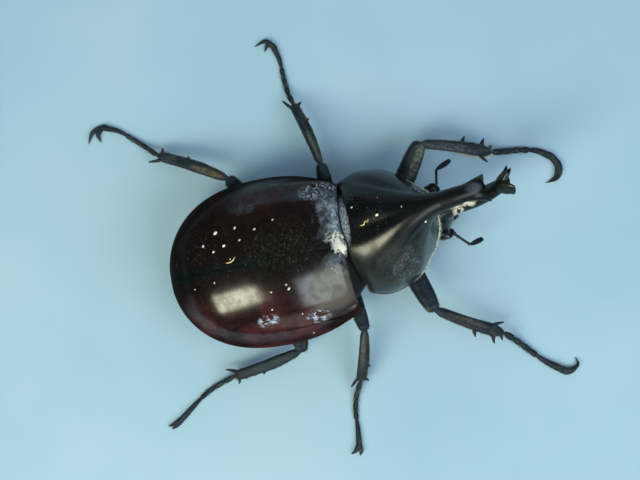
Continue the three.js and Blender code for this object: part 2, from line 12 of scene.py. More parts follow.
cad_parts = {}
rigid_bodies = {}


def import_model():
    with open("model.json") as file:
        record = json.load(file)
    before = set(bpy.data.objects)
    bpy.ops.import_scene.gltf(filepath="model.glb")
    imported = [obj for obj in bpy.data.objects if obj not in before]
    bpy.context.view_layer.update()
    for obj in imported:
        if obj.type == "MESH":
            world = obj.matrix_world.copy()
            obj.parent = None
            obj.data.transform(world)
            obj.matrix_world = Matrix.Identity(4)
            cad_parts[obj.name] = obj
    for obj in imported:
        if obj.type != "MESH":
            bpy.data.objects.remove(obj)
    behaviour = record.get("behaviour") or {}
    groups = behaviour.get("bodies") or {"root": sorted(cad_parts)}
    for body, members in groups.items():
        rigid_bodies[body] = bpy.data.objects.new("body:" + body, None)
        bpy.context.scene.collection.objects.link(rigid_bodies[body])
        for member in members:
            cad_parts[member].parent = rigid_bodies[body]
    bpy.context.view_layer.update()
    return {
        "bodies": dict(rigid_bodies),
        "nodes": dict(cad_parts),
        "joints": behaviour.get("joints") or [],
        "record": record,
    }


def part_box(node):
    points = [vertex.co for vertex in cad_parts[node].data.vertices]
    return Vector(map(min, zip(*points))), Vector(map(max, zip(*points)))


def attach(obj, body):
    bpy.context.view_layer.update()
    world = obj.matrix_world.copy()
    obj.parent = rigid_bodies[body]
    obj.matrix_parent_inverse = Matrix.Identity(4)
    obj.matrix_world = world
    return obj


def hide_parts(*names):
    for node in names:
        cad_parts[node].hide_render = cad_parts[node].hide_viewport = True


bl_info = {
    "name": "Rhinoceros Beetle",
    "version": (1, 0, 0),
    "blender": (4, 5, 0),
    "location": "View3D > Sidebar > Beetle",
    "description": "Builds the visible model of a rhinoceros beetle around its solids",
    "category": "Object",
}

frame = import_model()

# ---------------------------------------------------------------- sizes, in millimetres

# The beetle's own frame: the floor is z = 0, the head points to -Y, the left side is +X, and the origin is
# under the middle of the wing covers' front edge.
MM = 0.001
SIDES = {"left": 1, "right": -1}
SHARP = math.radians(55)  # edges sharper than this stay crisp
HAIRLINE = 0.05  # half the clear space between the wing covers

# The wing covers, a dome from the shoulders to the tail. y runs backwards from their front edge's middle.
REAR = 27.9
REAR_SLACK = 0.12  # how far behind that the dome would close
TAIL_CAP = 0.11  # how far behind that the covers close round the belly's tip
CREST_AT, CREST, SHOULDER_TOP = 10.5, 18.2, 15.7
WIDEST_AT, WIDEST_HALF, SHOULDER_HALF = 11.5, 13.4, 10.3
SWEEP = 1.0  # how far the shoulders reach in front of the middle
TAIL = 7.4  # height of the tip
WIDEST_HEIGHT = (9.2, 8.6, 8.0)
TUCK = 1.4 / 0.36  # how far the lower edge turns in under the widest line
COVER_THICK = 0.8
ROUNDNESS = 0.87
SEAM_ANGLE, COVER_EDGE = 0.0005, math.radians(108)  # where a cover starts by the seam, how far round it goes
COVER_START, COVER_SPAN = 0.001, 0.9985  # the share of the dome that a cover takes, from front to rear
SEAM_GAP = 0.025  # a cover's least distance from the middle

# The trunk's lowest line from front to rear, and where its lengths begin and end.
BELLY_LINE = (4.2, 3.9, 3.8, 3.9, 4.4, 6.0)
BELLY_START, WAIST, LAST_PLATE, BELLY_END = 0.3, 10.6, 24.6, 26.7
BELLY_PLATES = 5
TRUNK_INSET = COVER_THICK + 0.3  # how far the trunk stays inside the dome
# The length of the trunk behind the shield: half widths, middle, top and bottom.
NECK_START, NECK_END = -2.6, 0.35
NECK = ((6.2, 7.8, 8.8), (8.6, 8.4, 8.2), (12.2, 13.4, 14.2), (5.0, 4.6, 4.2))
SCUTELLUM = ((0, -0.35, 15.0), (0, 1.0, 15.4), (0, 3.1, 15.9))

# The front body turns as one. Inside it, points are (forward, left, height).
FORE_PLACE = (1.0, -0.2, 9.0)
FORE_YAW, FORE_ROLL = math.radians(7), math.radians(5)

# The shield's edge, from the middle of its rear edge round the left side to the front.
SHIELD_EDGE = (
    *((0.1, 0, 15.3), (0.25, 2.6, 15.0), (0.75, 5.4, 13.6), (1.45, 7.9, 11.2), (2.3, 9.3, 9.3)),
    *((5.4, 10.05, 8.6), (9.6, 9.0, 8.4), (12.6, 6.4, 8.4), (14.2, 4.5, 9.2), (15.0, 2.8, 11.4)),
    (15.3, 0, 12.6),
)
HORN_ROOT = (15.6, 17.9)  # forward and height of the ring where the horn leaves the shield
HORN_WIDE, HORN_DEEP = 1.65, 1.7
RIM_THICK, RIM_SWELL = 0.13, 0.08  # radius of the bead along the shield's edge, and its gain in front

# The head inside the front body, without its horn: half widths, middle, top and bottom from front to rear.
HEAD_START, HEAD_END = -18.5, -13.6
HEAD = (
    (1.1, 2.2, 3.0, 3.5, 3.8, 3.8, 3.6),
    (6.3, 6.7, 7.1, 7.5, 7.8, 8.0, 8.0),
    (7.4, 8.8, 9.8, 10.4, 10.8, 10.9, 10.8),
    (5.1, 4.6, 4.4, 4.5, 4.7, 5.0, 5.4),
)
EYE_PLACE, EYE_RADIUS = (15.6, 3.5, 8.1), 1.19

# Legs: the coxa's line, hip, knee, ankle, the foot's line and its two claws.
LEGS = {
    "front_left": {
        "coxa": ((5.0, -8.2, 5.8), (5.4, -9.6, 3.8)),
        "hip": (5.8, -9.7, 4.2),
        "knee": (14.3, -15.2, 8.0),
        "ankle": (11.3, -27.2, 2.4),
        "foot": ((11.2, -29.6, 0.9), (11.0, -32.2, 0.42), (10.3, -35.0, 0.45), (8.9, -37.1, 0.5)),
        "claws": (
            ((7.1, -38.1, 0.6), (5.2, -37.4, 0.5), (4.8, -35.2, 0.2)),
            ((7.2, -37.7, 0.5), (5.5, -37.0, 0.4), (5.1, -35.9, 0.2)),
        ),
    },
    "front_right": {
        "coxa": ((-1.3, -7.9, 5.8), (-1.3, -9.3, 3.8)),
        "hip": (-1.9, -9.2, 4.2),
        "knee": (-12.2, -12.3, 8.0),
        "ankle": (-18.2, -23.3, 2.4),
        "foot": ((-19.8, -25.2, 0.9), (-21.7, -27.0, 0.42), (-24.0, -29.2, 0.45), (-25.6, -31.3, 0.5)),
        "claws": (
            ((-26.3, -33.0, 0.6), (-25.6, -34.4, 0.5), (-24.3, -34.3, 0.2)),
            ((-26.5, -32.4, 0.6), (-26.6, -33.9, 0.2)),
        ),
    },
    "middle_left": {
        "coxa": ((2.9, 1.6, 5.2), (3.5, 0.6, 3.6)),
        "hip": (4.2, 0.4, 3.8),
        "knee": (14.0, 0.9, 7.1),
        "ankle": (25.5, 3.4, 2.2),
        "foot": ((27.9, 3.9, 0.8), (30.6, 4.1, 0.36), (33.5, 4.2, 0.36), (36.0, 4.8, 0.42)),
        "claws": (((37.0, 6.0, 0.6), (36.5, 7.9, 0.2)), ((36.3, 5.7, 0.5), (35.3, 6.4, 0.2))),
    },
    "middle_right": {
        "coxa": ((-2.9, 1.6, 5.2), (-3.5, 0.6, 3.6)),
        "hip": (-4.2, 0.2, 3.8),
        "knee": (-13.1, -0.9, 6.9),
        "ankle": (-21.4, 1.2, 2.2),
        "foot": ((-23.4, 2.2, 0.8), (-26.0, 2.9, 0.36), (-28.9, 3.1, 0.36), (-31.4, 3.4, 0.42)),
        "claws": (((-32.4, 4.1, 0.6), (-32.9, 5.0, 0.2)), ((-32.6, 3.3, 0.5), (-33.4, 3.6, 0.2))),
    },
    "hind_left": {
        "coxa": ((1.7, 8.2, 4.3), (8.6, 9.2, 5.2)),
        "hip": (3.9, 9.6, 3.6),
        "knee": (14.7, 15.9, 6.3),
        "ankle": (21.3, 26.9, 2.2),
        "foot": ((23.2, 28.7, 0.8), (25.0, 30.6, 0.36), (26.8, 32.7, 0.36), (27.9, 35.2, 0.42)),
        "claws": (((27.4, 37.0, 0.6), (25.6, 38.1, 0.2)), ((26.9, 36.2, 0.5), (25.5, 35.9, 0.2))),
    },
    "hind_right": {
        "coxa": ((-1.7, 8.2, 4.3), (-8.6, 9.0, 5.2)),
        "hip": (-3.9, 9.4, 3.6),
        "knee": (-14.6, 9.6, 6.2),
        "ankle": (-16.7, 21.2, 2.2),
        "foot": ((-17.5, 23.8, 0.8), (-18.5, 26.2, 0.36), (-20.0, 28.5, 0.36), (-21.8, 30.9, 0.42)),
        "claws": (((-22.5, 32.4, 0.6), (-22.7, 33.6, 0.2)), ((-22.8, 32.1, 0.5), (-23.3, 33.1, 0.2))),
    },
}
# Sizes of the legs. coxa and foot are radii, femur and tibia are half sizes across and along the height,
# teeth are (share of the shin, length), and spur is the spur's place as a share of the shin.
LEG_SHAPE = {
    "front": {
        "coxa": 1.9,
        "femur": ((0.8, 1.45, 1.65, 1.6, 1.45, 1.0), (0.8, 1.2, 1.3, 1.2, 1.1, 0.8)),
        "tibia": ((0.6, 0.85, 0.95, 1.05, 1.1, 0.72), (0.55, 0.75, 0.75, 0.75, 0.7, 0.5)),
        "teeth": ((0.6, 1.2), (0.87, 1.3), (0.98, 0.5)),
        "spur": 0.82,
        "foot": 0.52,
    },
    "middle": {
        "coxa": 1.8,
        "femur": ((0.7, 1.15, 1.25, 1.2, 1.1, 0.8), (0.7, 1.0, 1.1, 1.05, 1.0, 0.7)),
        "tibia": ((0.5, 0.75, 0.9, 0.95, 0.9, 0.85), (0.5, 0.7, 0.75, 0.75, 0.7, 0.6)),
        "teeth": ((0.7, 0.5), (0.97, 0.5)),
        "spur": 0.94,
        "foot": 0.42,
    },
    "hind": {
        "coxa": 1.5,
        "femur": ((0.7, 1.3, 1.5, 1.45, 1.3, 0.9), (0.7, 1.0, 1.15, 1.1, 1.05, 0.7)),
        "tibia": ((0.5, 0.85, 1.05, 1.0, 0.95, 0.95), (0.5, 0.7, 0.8, 0.8, 0.75, 0.65)),
        "teeth": ((0.6, 0.5), (0.97, 0.5)),
        "spur": 0.94,
        "foot": 0.42,
    },
}


def beetle_origin():
    """The origin of the beetle's own frame, in metres, read from the left wing cover's box."""
    low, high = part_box("elytron_left")
    return np.array((low.x - HAIRLINE * MM, high.y - REAR * MM, 0.0))


ORIGIN = beetle_origin()


# ---------------------------------------------------------------- settings


def millimetres(name, description, value):
    """A setting for a length, given in millimetres."""
    return FloatProperty(name=name, description=description, default=value * MM, unit="LENGTH")


class BeetleSizes(bpy.types.PropertyGroup):
    """Sizes and counts that a user would change."""

    seam_groove: millimetres("Seam groove", "Depth of the groove between the wing covers", 0.015)
    grain: millimetres("Shell grain", "Spacing of the pits in the shell", 0.22)
    fringe: millimetres("Fringe", "Length of the hair round the shield", 0.5)
    shin_hair: millimetres("Shin hair", "Length of the hair on the legs", 0.7)
    hair_thickness: millimetres("Hair thickness", "Radius of a hair at its root", 0.018)
    hair_share: FloatProperty(
        name="Hair share", description="Share of the full coat that grows", default=1.0, min=0.0, max=1.0
    )
    seed: IntProperty(name="Seed", description="Start of the random numbers for the hair", default=11)


def colour(name, description, value):
    """A setting for a colour in linear light."""
    return FloatVectorProperty(name=name, description=description, subtype="COLOR", size=3, default=value)


class BeetleColours(bpy.types.PropertyGroup):
    """Colours that a user would change."""

    cover_dark: colour("Wing cover, dark", "Darkest brown of the wing covers", (0.0042, 0.003, 0.0028))
    cover_red: colour("Wing cover, red", "Red-brown that shows through on the flanks", (0.052, 0.011, 0.0125))
    cover_olive: colour("Wing cover, olive", "Olive tint along the seam", (0.022, 0.025, 0.014))
    shield: colour("Shield", "Black of the shield, horns and head", (0.0034, 0.0042, 0.0042))
    # On the shield's right half this olive is partly the shell's own tone, partly painted sheen on the side
    # that faces the lamps.
    shield_olive_and_sheen: colour("Shield, olive", "Olive of the shield's right half", (0.0125, 0.017, 0.014))
    under: colour("Underside", "Dark brown of the underside", (0.018, 0.0105, 0.0065))
    leg: colour("Leg", "Blue-black of the legs and feelers", (0.0085, 0.0115, 0.0165))
    # This colour is painted onto the legs' upward faces: partly a dusty bloom, partly painted sheen where
    # light falls from above.
    bloom_and_sheen: colour("Leg bloom", "Bluish bloom on the upper faces of the legs", (0.017, 0.028, 0.038))
    dust: colour("Dust", "Dried pale dirt on the shell", (0.41, 0.5, 0.6))
    cream: colour("Cream", "Cream of the crumbs and of the pale hair", (0.7, 0.71, 0.6))
    hair: colour("Hair", "Golden brown of the hair on the legs", (0.25, 0.195, 0.12))
    floor: colour("Floor", "Pale studio floor", (0.26, 0.42, 0.55))


# ---------------------------------------------------------------- curves


def through(values, t):
    """A smooth value or point through evenly spaced ones, for t from 0 to 1."""
    values, t = np.asarray(values, float), np.asarray(t, float)
    last = len(values) - 1
    x = np.clip(t, 0, 1) * last
    i = np.minimum(x.astype(int), last - 1)
    u = x - i
    ends = np.concatenate([[2 * values[0] - values[1]], values, [2 * values[-1] - values[-2]]])
    a, b, c, d = (ends[i + k] for k in range(4))
    u = u.reshape(u.shape + (1,) * (values.ndim - 1))
    return b + 0.5 * u * (c - a + u * (2 * a - 5 * b + 4 * c - d + u * (3 * (b - c) + d - a)))


def unit(vectors):
    """The same directions, one long."""
    return vectors / np.maximum(np.linalg.norm(vectors, axis=-1, keepdims=True), 1e-12)


def power(value, exponent):
    """A power that keeps the sign."""
    return np.sign(value) * np.abs(value) ** exponent


def bell(value, middle, width):
    """A soft bump of height 1 round a middle value."""
    return np.exp(-(((value - middle) / width) ** 2))


def ramp(value, start, end):
    """From 0 to 1, softly, as a value goes from start to end."""
    t = np.clip((value - start) / (end - start), 0, 1)
    return t * t * (3 - 2 * t)


def fore(points, side=1):
    """Points of the front body, as (forward, left, height), in the beetle's frame. -1 mirrors them."""
    p = np.asarray(points, float) * (1, side, 1)
    local = np.stack([p[..., 1], -p[..., 0], p[..., 2] - FORE_PLACE[2]], axis=-1)
    turn = Matrix.Rotation(FORE_YAW, 3, "Z") @ Matrix.Rotation(FORE_ROLL, 3, "Y")
    return local @ np.array(turn).T + np.array(FORE_PLACE)


def stood(points, start, end, outward):
    """Points modelled along +X, with the outer edge towards +Y, moved to stand between two points."""
    x = unit(np.subtract(end, start))
    z = unit(np.cross(x, outward))
    return points @ np.array([x, np.cross(z, x), z]) + np.array(start)


# ---------------------------------------------------------------- skins


def limb(line, wide, deep=None, up=(0, 0, 1), sides=28, steps=36, blunt=0.08, relief=None, flat=1.0):
    """Rings round a line of points. wide and deep are the half sizes across and along "up", evenly spaced.
    relief(t, angle) scales the radius. A flat below 1 gives the section flatter faces and edges."""
    t = 0.5 - 0.5 * np.cos(math.pi * np.linspace(0, 1, steps + 1))
    tangent = unit(through(line, t + 0.01) - through(line, t - 0.01))
    across = unit(np.cross(tangent, up))
    out = np.cross(across, tangent)
    near = np.clip(np.minimum(t, 1 - t) / blunt, 0.01, 1)
    swell = np.sqrt(1 - (1 - near) ** 2)[:, None]
    angle = 2 * math.pi * (np.arange(sides) + 0.5)[None] / sides
    size = swell * (1 if relief is None else relief(t[:, None], angle))
    sideways = power(np.cos(angle), flat) * through(wide, t)[:, None] * size
    upward = power(np.sin(angle), flat) * through(wide if deep is None else deep, t)[:, None] * size
    centres = through(line, t)[:, None]
    return centres + across[:, None] * sideways[..., None] + out[:, None] * upward[..., None]


def barrel(start, end, half, mid, top, bottom, steps, sides=96, roundness=0.9):
    """Rings of a barrel along y: at each station its half width, and its widest line, top and bottom."""
    t = np.linspace(0, 1, steps + 1)[:, None]
    y = start + (end - start) * t
    h, m, high, low = (f(y) if callable(f) else through(f, t) for f in (half, mid, top, bottom))
    angle = 2 * math.pi * np.arange(sides)[None] / sides
    above = np.cos(angle) > 0
    reach = np.where(above, high - m, m - low)
    exponent = np.where(above, roundness, 1.0)
    x = h * power(np.sin(angle), exponent)
    z = m + reach * power(np.cos(angle), exponent)
    return np.stack([x, np.broadcast_to(y, x.shape), z], axis=-1)


def ball(centre, frame, sizes, rows=33, sides=56):
    """Rings of a ball round a centre. frame holds its three axes, sizes the half size along each."""
    pole = 0.01
    t = np.linspace(pole, math.pi - pole, rows)[:, None]
    turn = 2 * math.pi * np.arange(sides)[None] / sides
    round_ball = np.stack([np.sin(t) * np.cos(turn), np.sin(t) * np.sin(turn), np.cos(t) + 0 * turn], axis=-1)
    return (round_ball * np.array(sizes)) @ np.array(frame, float) + np.array(centre)


def normals(rings, closed=True):
    """Unit normals of a grid of rings, all to one side."""
    if closed:
        around = np.roll(rings, -1, axis=1) - np.roll(rings, 1, axis=1)
    else:
        around = np.gradient(rings, axis=1)
    return unit(np.cross(around, np.gradient(rings, axis=0)))


class Shape:
    """Points in millimetres, in the beetle's frame, and the faces between them."""

    def __init__(self):
        self.points = np.zeros((0, 3))
        self.faces = []

    def add(self, points, faces):
        """Takes in more points and the faces on them."""
        start = len(self.points)
        self.points = np.concatenate([self.points, np.asarray(points, float).reshape(-1, 3)])
        self.faces += [tuple(start + k for k in face) for face in faces]
        return self

    def skin(self, rings, crescent=False):
        """A closed skin over a stack of rings. A crescent ring runs out and back, and a strip closes it."""
        m, n = rings.shape[:2]
        index = np.arange(m * n).reshape(m, n)
        a, b = index[:-1], np.roll(index, -1, axis=1)[:-1]
        faces = np.stack([a, b, b + n, a + n], axis=-1).reshape(-1, 4).tolist()
        points = [rings.reshape(-1, 3)]
        for end, row in enumerate((index[0], index[-1])):
            if crescent:
                faces += [(row[k], row[k + 1], row[n - 2 - k], row[n - 1 - k]) for k in range(n // 2 - 1)]
            else:
                faces += [(row[k], row[(k + 1) % n], m * n + end) for k in range(n)]
                points.append(rings[-end].mean(axis=0)[None])
        return self.add(np.concatenate(points), faces)

    def keep_above_floor(self):
        """Lifts the points under the floor onto it."""
        self.points[:, 2] = np.maximum(self.points[:, 2], 0)
        return self


class Coat(Shape):
    """Hairs, each a thin curved spike, with a small patch of the bake's map at its root's place."""

    PATCH = 0.003
    UNRULY = 0.16  # how far the hairs stray from the way they are told to lie
    LEVELS = (0, 0.4, 0.75)  # where a hair's rings of three points stand along it
    TAPER = (1, 0.85, 0.5)
    FACES = (
        *((0, 1, 4, 3), (1, 2, 5, 4), (2, 0, 3, 5), (3, 4, 7, 6), (4, 5, 8, 7), (5, 3, 6, 8)),
        *((6, 7, 9), (7, 8, 9), (8, 6, 9), (2, 1, 0)),
    )

    def __init__(self, radius, share, rng):
        super().__init__()
        self.radius, self.share, self.rng = radius, share, rng
        self.map = np.zeros((0, 2))

    def grow(self, roots, ways, length, places, bend=(0, 0, -0.3)):
        """Hairs from roots along ways, bent a little. places are the roots' places on the skin's unwrap."""
        keep = self.rng.random(len(roots)) < self.share
        roots, ways, places = roots[keep], ways[keep], places[keep]
        ways = unit(ways + self.rng.normal(0, self.UNRULY, ways.shape))
        reach = (length * self.rng.uniform(0.6, 1.15, len(roots)))[:, None, None]
        share = np.array(self.LEVELS)[None, :, None]
        spine = roots[:, None] + reach * (ways[:, None] * share + np.array(bend) * share**2 * 0.5)
        tip = roots + reach[:, 0] * (ways + np.array(bend) * 0.5)
        across = unit(np.cross(ways, (0.3, 0.5, 0.8)))
        out = np.cross(ways, across)
        turn = 2 * math.pi * np.arange(3) / 3
        spoke = across[:, None] * np.cos(turn)[None, :, None] + out[:, None] * np.sin(turn)[None, :, None]
        thick = self.radius * np.array(self.TAPER)[None, :, None, None]
        rings = spine[:, :, None] + spoke[:, None] * thick
        points = np.concatenate([rings.reshape(len(roots), 9, 3), tip[:, None]], axis=1)
        faces = [[10 * hair + k for k in face] for hair in range(len(roots)) for face in self.FACES]
        self.add(points, faces)
        spread = np.array([[k % 3, k // 3] for k in range(10)]) * self.PATCH / 3
        self.map = np.concatenate([self.map, (places[:, None] + spread[None]).reshape(-1, 2)])

    def cover(self, rings, count, rows, columns, lift, way, length):
        """Hairs scattered over part of a grid of rings, along a way and lifted off the skin."""
        roots, facing, places = scatter(rings, count, self.rng, rows, columns)
        self.grow(roots, facing * lift + way, length, places)


def scatter(rings, count, rng, rows=(0, 1), columns=(0, 1)):
    """Random places on a grid of rings: points, outward normals and places on its unwrap."""
    m, n = rings.shape[:2]
    v = rng.uniform(*rows, count)
    u = rng.uniform(*columns, count)
    i = np.minimum((v * (m - 1)).astype(int), m - 2)
    j = (u * n).astype(int) % n
    f, g = (v * (m - 1) - i)[:, None], (u * n % 1)[:, None]
    k = (j + 1) % n
    here = rings[i, j] + f * (rings[i + 1, j] - rings[i, j]) + g * (rings[i, k] - rings[i, j])
    facing = unit(np.cross(rings[i, k] - rings[i, j], rings[i + 1, j] - rings[i, j]))
    middle = rings.mean(axis=1)[i]
    facing *= np.sign(np.sum(facing * (here - middle), axis=1))[:, None]
    return here, facing, np.stack([u % 1, v], axis=-1) * 0.95 + 0.02


# ---------------------------------------------------------------- pieces


def added(name, data):
    """A new object in the scene."""
    obj = bpy.data.objects.new(name, data)
    bpy.context.scene.collection.objects.link(obj)
    return obj


def applied(obj):
    """Turns an object's modifiers into its mesh."""
    graph = bpy.context.evaluated_depsgraph_get()
    mesh = bpy.data.meshes.new_from_object(obj.evaluated_get(graph))
    old = obj.data
    obj.modifiers.clear()
    obj.data = mesh
    bpy.data.meshes.remove(old)


def piece(name, shape, material, nodes=(), voxel=0.0, relax=0):
    """A visible piece from a shape. voxel, in millimetres, melts overlapping parts into one skin, which is
    eased relax times."""
    mesh = bpy.data.meshes.new(name)
    mesh.from_pydata((shape.points * MM + ORIGIN).tolist(), [], shape.faces)
    if isinstance(shape, Coat):
        layer = mesh.uv_layers.new(name="OFBake")
        corners = np.zeros(len(mesh.loops), int)
        mesh.loops.foreach_get("vertex_index", corners)
        layer.data.foreach_set("uv", shape.map[corners].ravel())
    else:
        work = bmesh.new()
        work.from_mesh(mesh)
        bmesh.ops.recalc_face_normals(work, faces=work.faces)
        work.to_mesh(mesh)
        work.free()
    obj = added(name, mesh)
    if voxel:
        melt = obj.modifiers.new("Melt", "REMESH")
        melt.mode = "VOXEL"
        melt.voxel_size = voxel * MM
        ease = obj.modifiers.new("Ease", "SMOOTH")
        ease.iterations = relax
        applied(obj)
    obj.data.materials.append(material)
    obj.data.polygons.foreach_set("use_smooth", [True] * len(obj.data.polygons))
    obj.data.set_sharp_from_angle(angle=SHARP)
    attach(obj, "root")
    if nodes:
        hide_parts(*nodes)


# ---------------------------------------------------------------- shader maths


class Value:
    """A node's output. Arithmetic on numbers adds Math nodes."""

    def __init__(self, shader, socket):
        self.shader, self.socket = shader, socket

    def math(self, operation, *values):
        """One Math node over this and other values."""
        return self.shader.node("ShaderNodeMath", {"operation": operation}, dict(enumerate(values)))

    def __add__(self, other):
        return self.math("ADD", self, other)

    def __sub__(self, other):
        return self.math("SUBTRACT", self, other)

    def __mul__(self, other):
        return self.math("MULTIPLY", self, other)

    def __rsub__(self, other):
        return self.math("SUBTRACT", other, self)

    __radd__ = __add__
    __rmul__ = __mul__

    def size(self):
        """The value without its sign."""
        return self.math("ABSOLUTE", self)

    def least(self, other):
        """The smaller of two values."""
        return self.math("MINIMUM", self, other)

    def most(self, other):
        """The larger of two values."""
        return self.math("MAXIMUM", self, other)

    def band(self, start, end):
        """From 0 to 1, softly, as the value goes from start to end."""
        settings = {"interpolation_type": "SMOOTHSTEP"}
        return self.shader.node("ShaderNodeMapRange", settings, {0: self, 1: start, 2: end})


class Shader:
    """A material with a Principled shader. place is the point in the beetle's frame, in millimetres."""

    def __init__(self, name):
        self.material = bpy.data.materials.new(name)
        self.material.use_nodes = True
        self.tree = self.material.node_tree
        self.surface = self.tree.nodes["Principled BSDF"]
        spot = self.node("ShaderNodeTexCoord", {}, {}, "Object")
        shift = tuple(-ORIGIN / MM)
        settings = {"operation": "MULTIPLY_ADD"}
        self.place = self.node("ShaderNodeVectorMath", settings, {0: spot, 1: (1 / MM,) * 3, 2: shift})

    def node(self, kind, settings, inputs, output=0):
        """A node of a type, with its settings, then the values or links of its inputs."""
        node = self.tree.nodes.new(kind)
        for key, value in settings.items():
            setattr(node, key, value)
        for key, value in inputs.items():
            self.feed(node.inputs[key], value)
        return Value(self, node.outputs[output])

    def feed(self, socket, value):
        """Links a value to a socket, or sets it."""
        if isinstance(value, Value):
            self.tree.links.new(value.socket, socket)
        elif socket.type == "RGBA":
            socket.default_value = (*value, 1)
        else:
            socket.default_value = value

    def axes(self):
        """x, y and z of the place."""
        split = self.tree.nodes.new("ShaderNodeSeparateXYZ")
        self.tree.links.new(self.place.socket, split.inputs[0])
        return [Value(self, output) for output in split.outputs]

    def upward(self):
        """How far the surface faces up, from -1 to 1."""
        facing = self.node("ShaderNodeNewGeometry", {}, {}, "Normal")
        return self.node("ShaderNodeSeparateXYZ", {}, {0: facing}, "Z")

    def noise(self, size, detail=3.0, rough=0.55, stretch=(1, 1, 1), turn=0.0):
        """Soft noise from about 0.3 to 0.7, with features of a size in millimetres, drawn out along its axes
        and turned about the vertical."""
        inputs = {"Vector": self.place, "Rotation": (0, 0, turn), "Scale": stretch}
        spot = self.node("ShaderNodeMapping", {"vector_type": "TEXTURE"}, inputs)
        inputs = {"Vector": spot, "Scale": 1 / size, "Detail": detail, "Roughness": rough}
        return self.node("ShaderNodeTexNoise", {}, inputs)

    def cells(self, size, **settings):
        """Distance to the nearest of scattered points, as a share of their spacing in millimetres."""
        inputs = {"Vector": self.place, "Scale": 1 / size}
        return self.node("ShaderNodeTexVoronoi", settings, inputs, "Distance")

    def pits(self, size, radius=0.24):
        """1 on the smooth shell, falling to 0 in small scattered pits."""
        return self.cells(size).band(radius * 0.4, radius)

    def mix(self, factor, first, second):
        """A blend of two colours."""
        inputs = {"Factor": factor, "A": first, "B": second}
        node = self.tree.nodes.new("ShaderNodeMix")
        node.data_type = "RGBA"
        sockets = {socket.name: socket for socket in node.inputs if socket.enabled}
        for key, value in inputs.items():
            self.feed(sockets[key], value)
        return Value(self, next(socket for socket in node.outputs if socket.enabled))

    def bumps(self, height, depth, onto=None):
        """A normal from a height field of a depth in millimetres."""
        inputs = {"Height": height, "Distance": depth * MM, "Strength": 1.0}
        if onto:
            inputs["Normal"] = onto
        return self.node("ShaderNodeBump", {}, inputs)

    def finish(self, constants=None, **varying):
        """Sets what is the same all over and links what changes, and gives the material."""
        for key, value in (constants or {}).items():
            self.feed(self.surface.inputs[key], value)
        for key, value in varying.items():
            self.feed(self.surface.inputs[key.replace("_", " ")], value)
        return self.material


# ---------------------------------------------------------------- materials

SEAM_TINT = (0.0015, 0.005, 0.0045)
EYE_TINTS = (0.004, 0.004, 0.004), (0.012, 0.01, 0.008)
FIBRE_TINT = (0.62, 0.5, 0.2)


def scaled(tint, share):
    """A colour, lighter or darker."""
    return tuple(share * c for c in tint)


def patch(x, y, at, half, soft=1.1):
    """A soft oval spot on the back, from its middle and its half sizes in millimetres."""
    across = (x - at[0]) * (1 / half[0])
    along = (y - at[1]) * (1 / half[1])
    return 1 - (across * across + along * along).band(0.15, 0.15 + soft)


# Marks on the back and head: dirt, dull patches, and painted highlights, sheen and glints. For each, the
# middle, x below 0 being the right side, its half sizes, and how soft its edge is where that isn't 1.1.
MARKS = {
    "shoulder": ((9.3, 2.4), (1.6, 3.4)),
    "haze_and_sheen": ((-3.1, 1.5), (2.6, 2.8)),
    "smudge": ((8.5, 14.1), (1.1, 2.0)),
    "film_and_highlight": ((-6.2, 3.2), (3.8, 4.6), 1.3),
    "scuff": ((-9.2, 13.6), (1.2, 2.1), 0.7),
    "front_scuff": ((-9.9, 6.0), (1.25, 2.6), 0.7),
    "white": ((1.3, 1.2), (1.9, 1.5)),
    "white_edge": ((-0.2, 0.7), (0.9, 1.3)),
    "dull_flank": ((-10.4, 1.6), (1.2, 3.6)),
    "dull_shoulder": ((-8.6, 0.9), (1.1, 1.9), 0.8),
    "shield_rear": ((3.9, -0.75), (4.6, 0.75), 0.9),
    "shield_specks": ((5.2, -4.6), (4.6, 4.8), 1.6),
    "horn_tip_sheen": ((4.7, -20.9), (1.0, 1.7), 0.8),
    "lull_rear": ((-2.6, -0.4), (2.0, 1.6)),
    "lull_middle": ((-1.4, -4.4), (1.5, 0.85), 0.6),
    "ring": ((2.3, -18.9), (1.1, 1.2), 0.6),
    "ring_hole": ((2.2, -19.0), (0.45, 0.5), 0.8),
    "horn_glint": ((3.1, -20.7), (0.45, 1.3), 0.8),
}


def mark(x, y, name):
    """One of the marks, by name."""
    return patch(x, y, *MARKS[name])


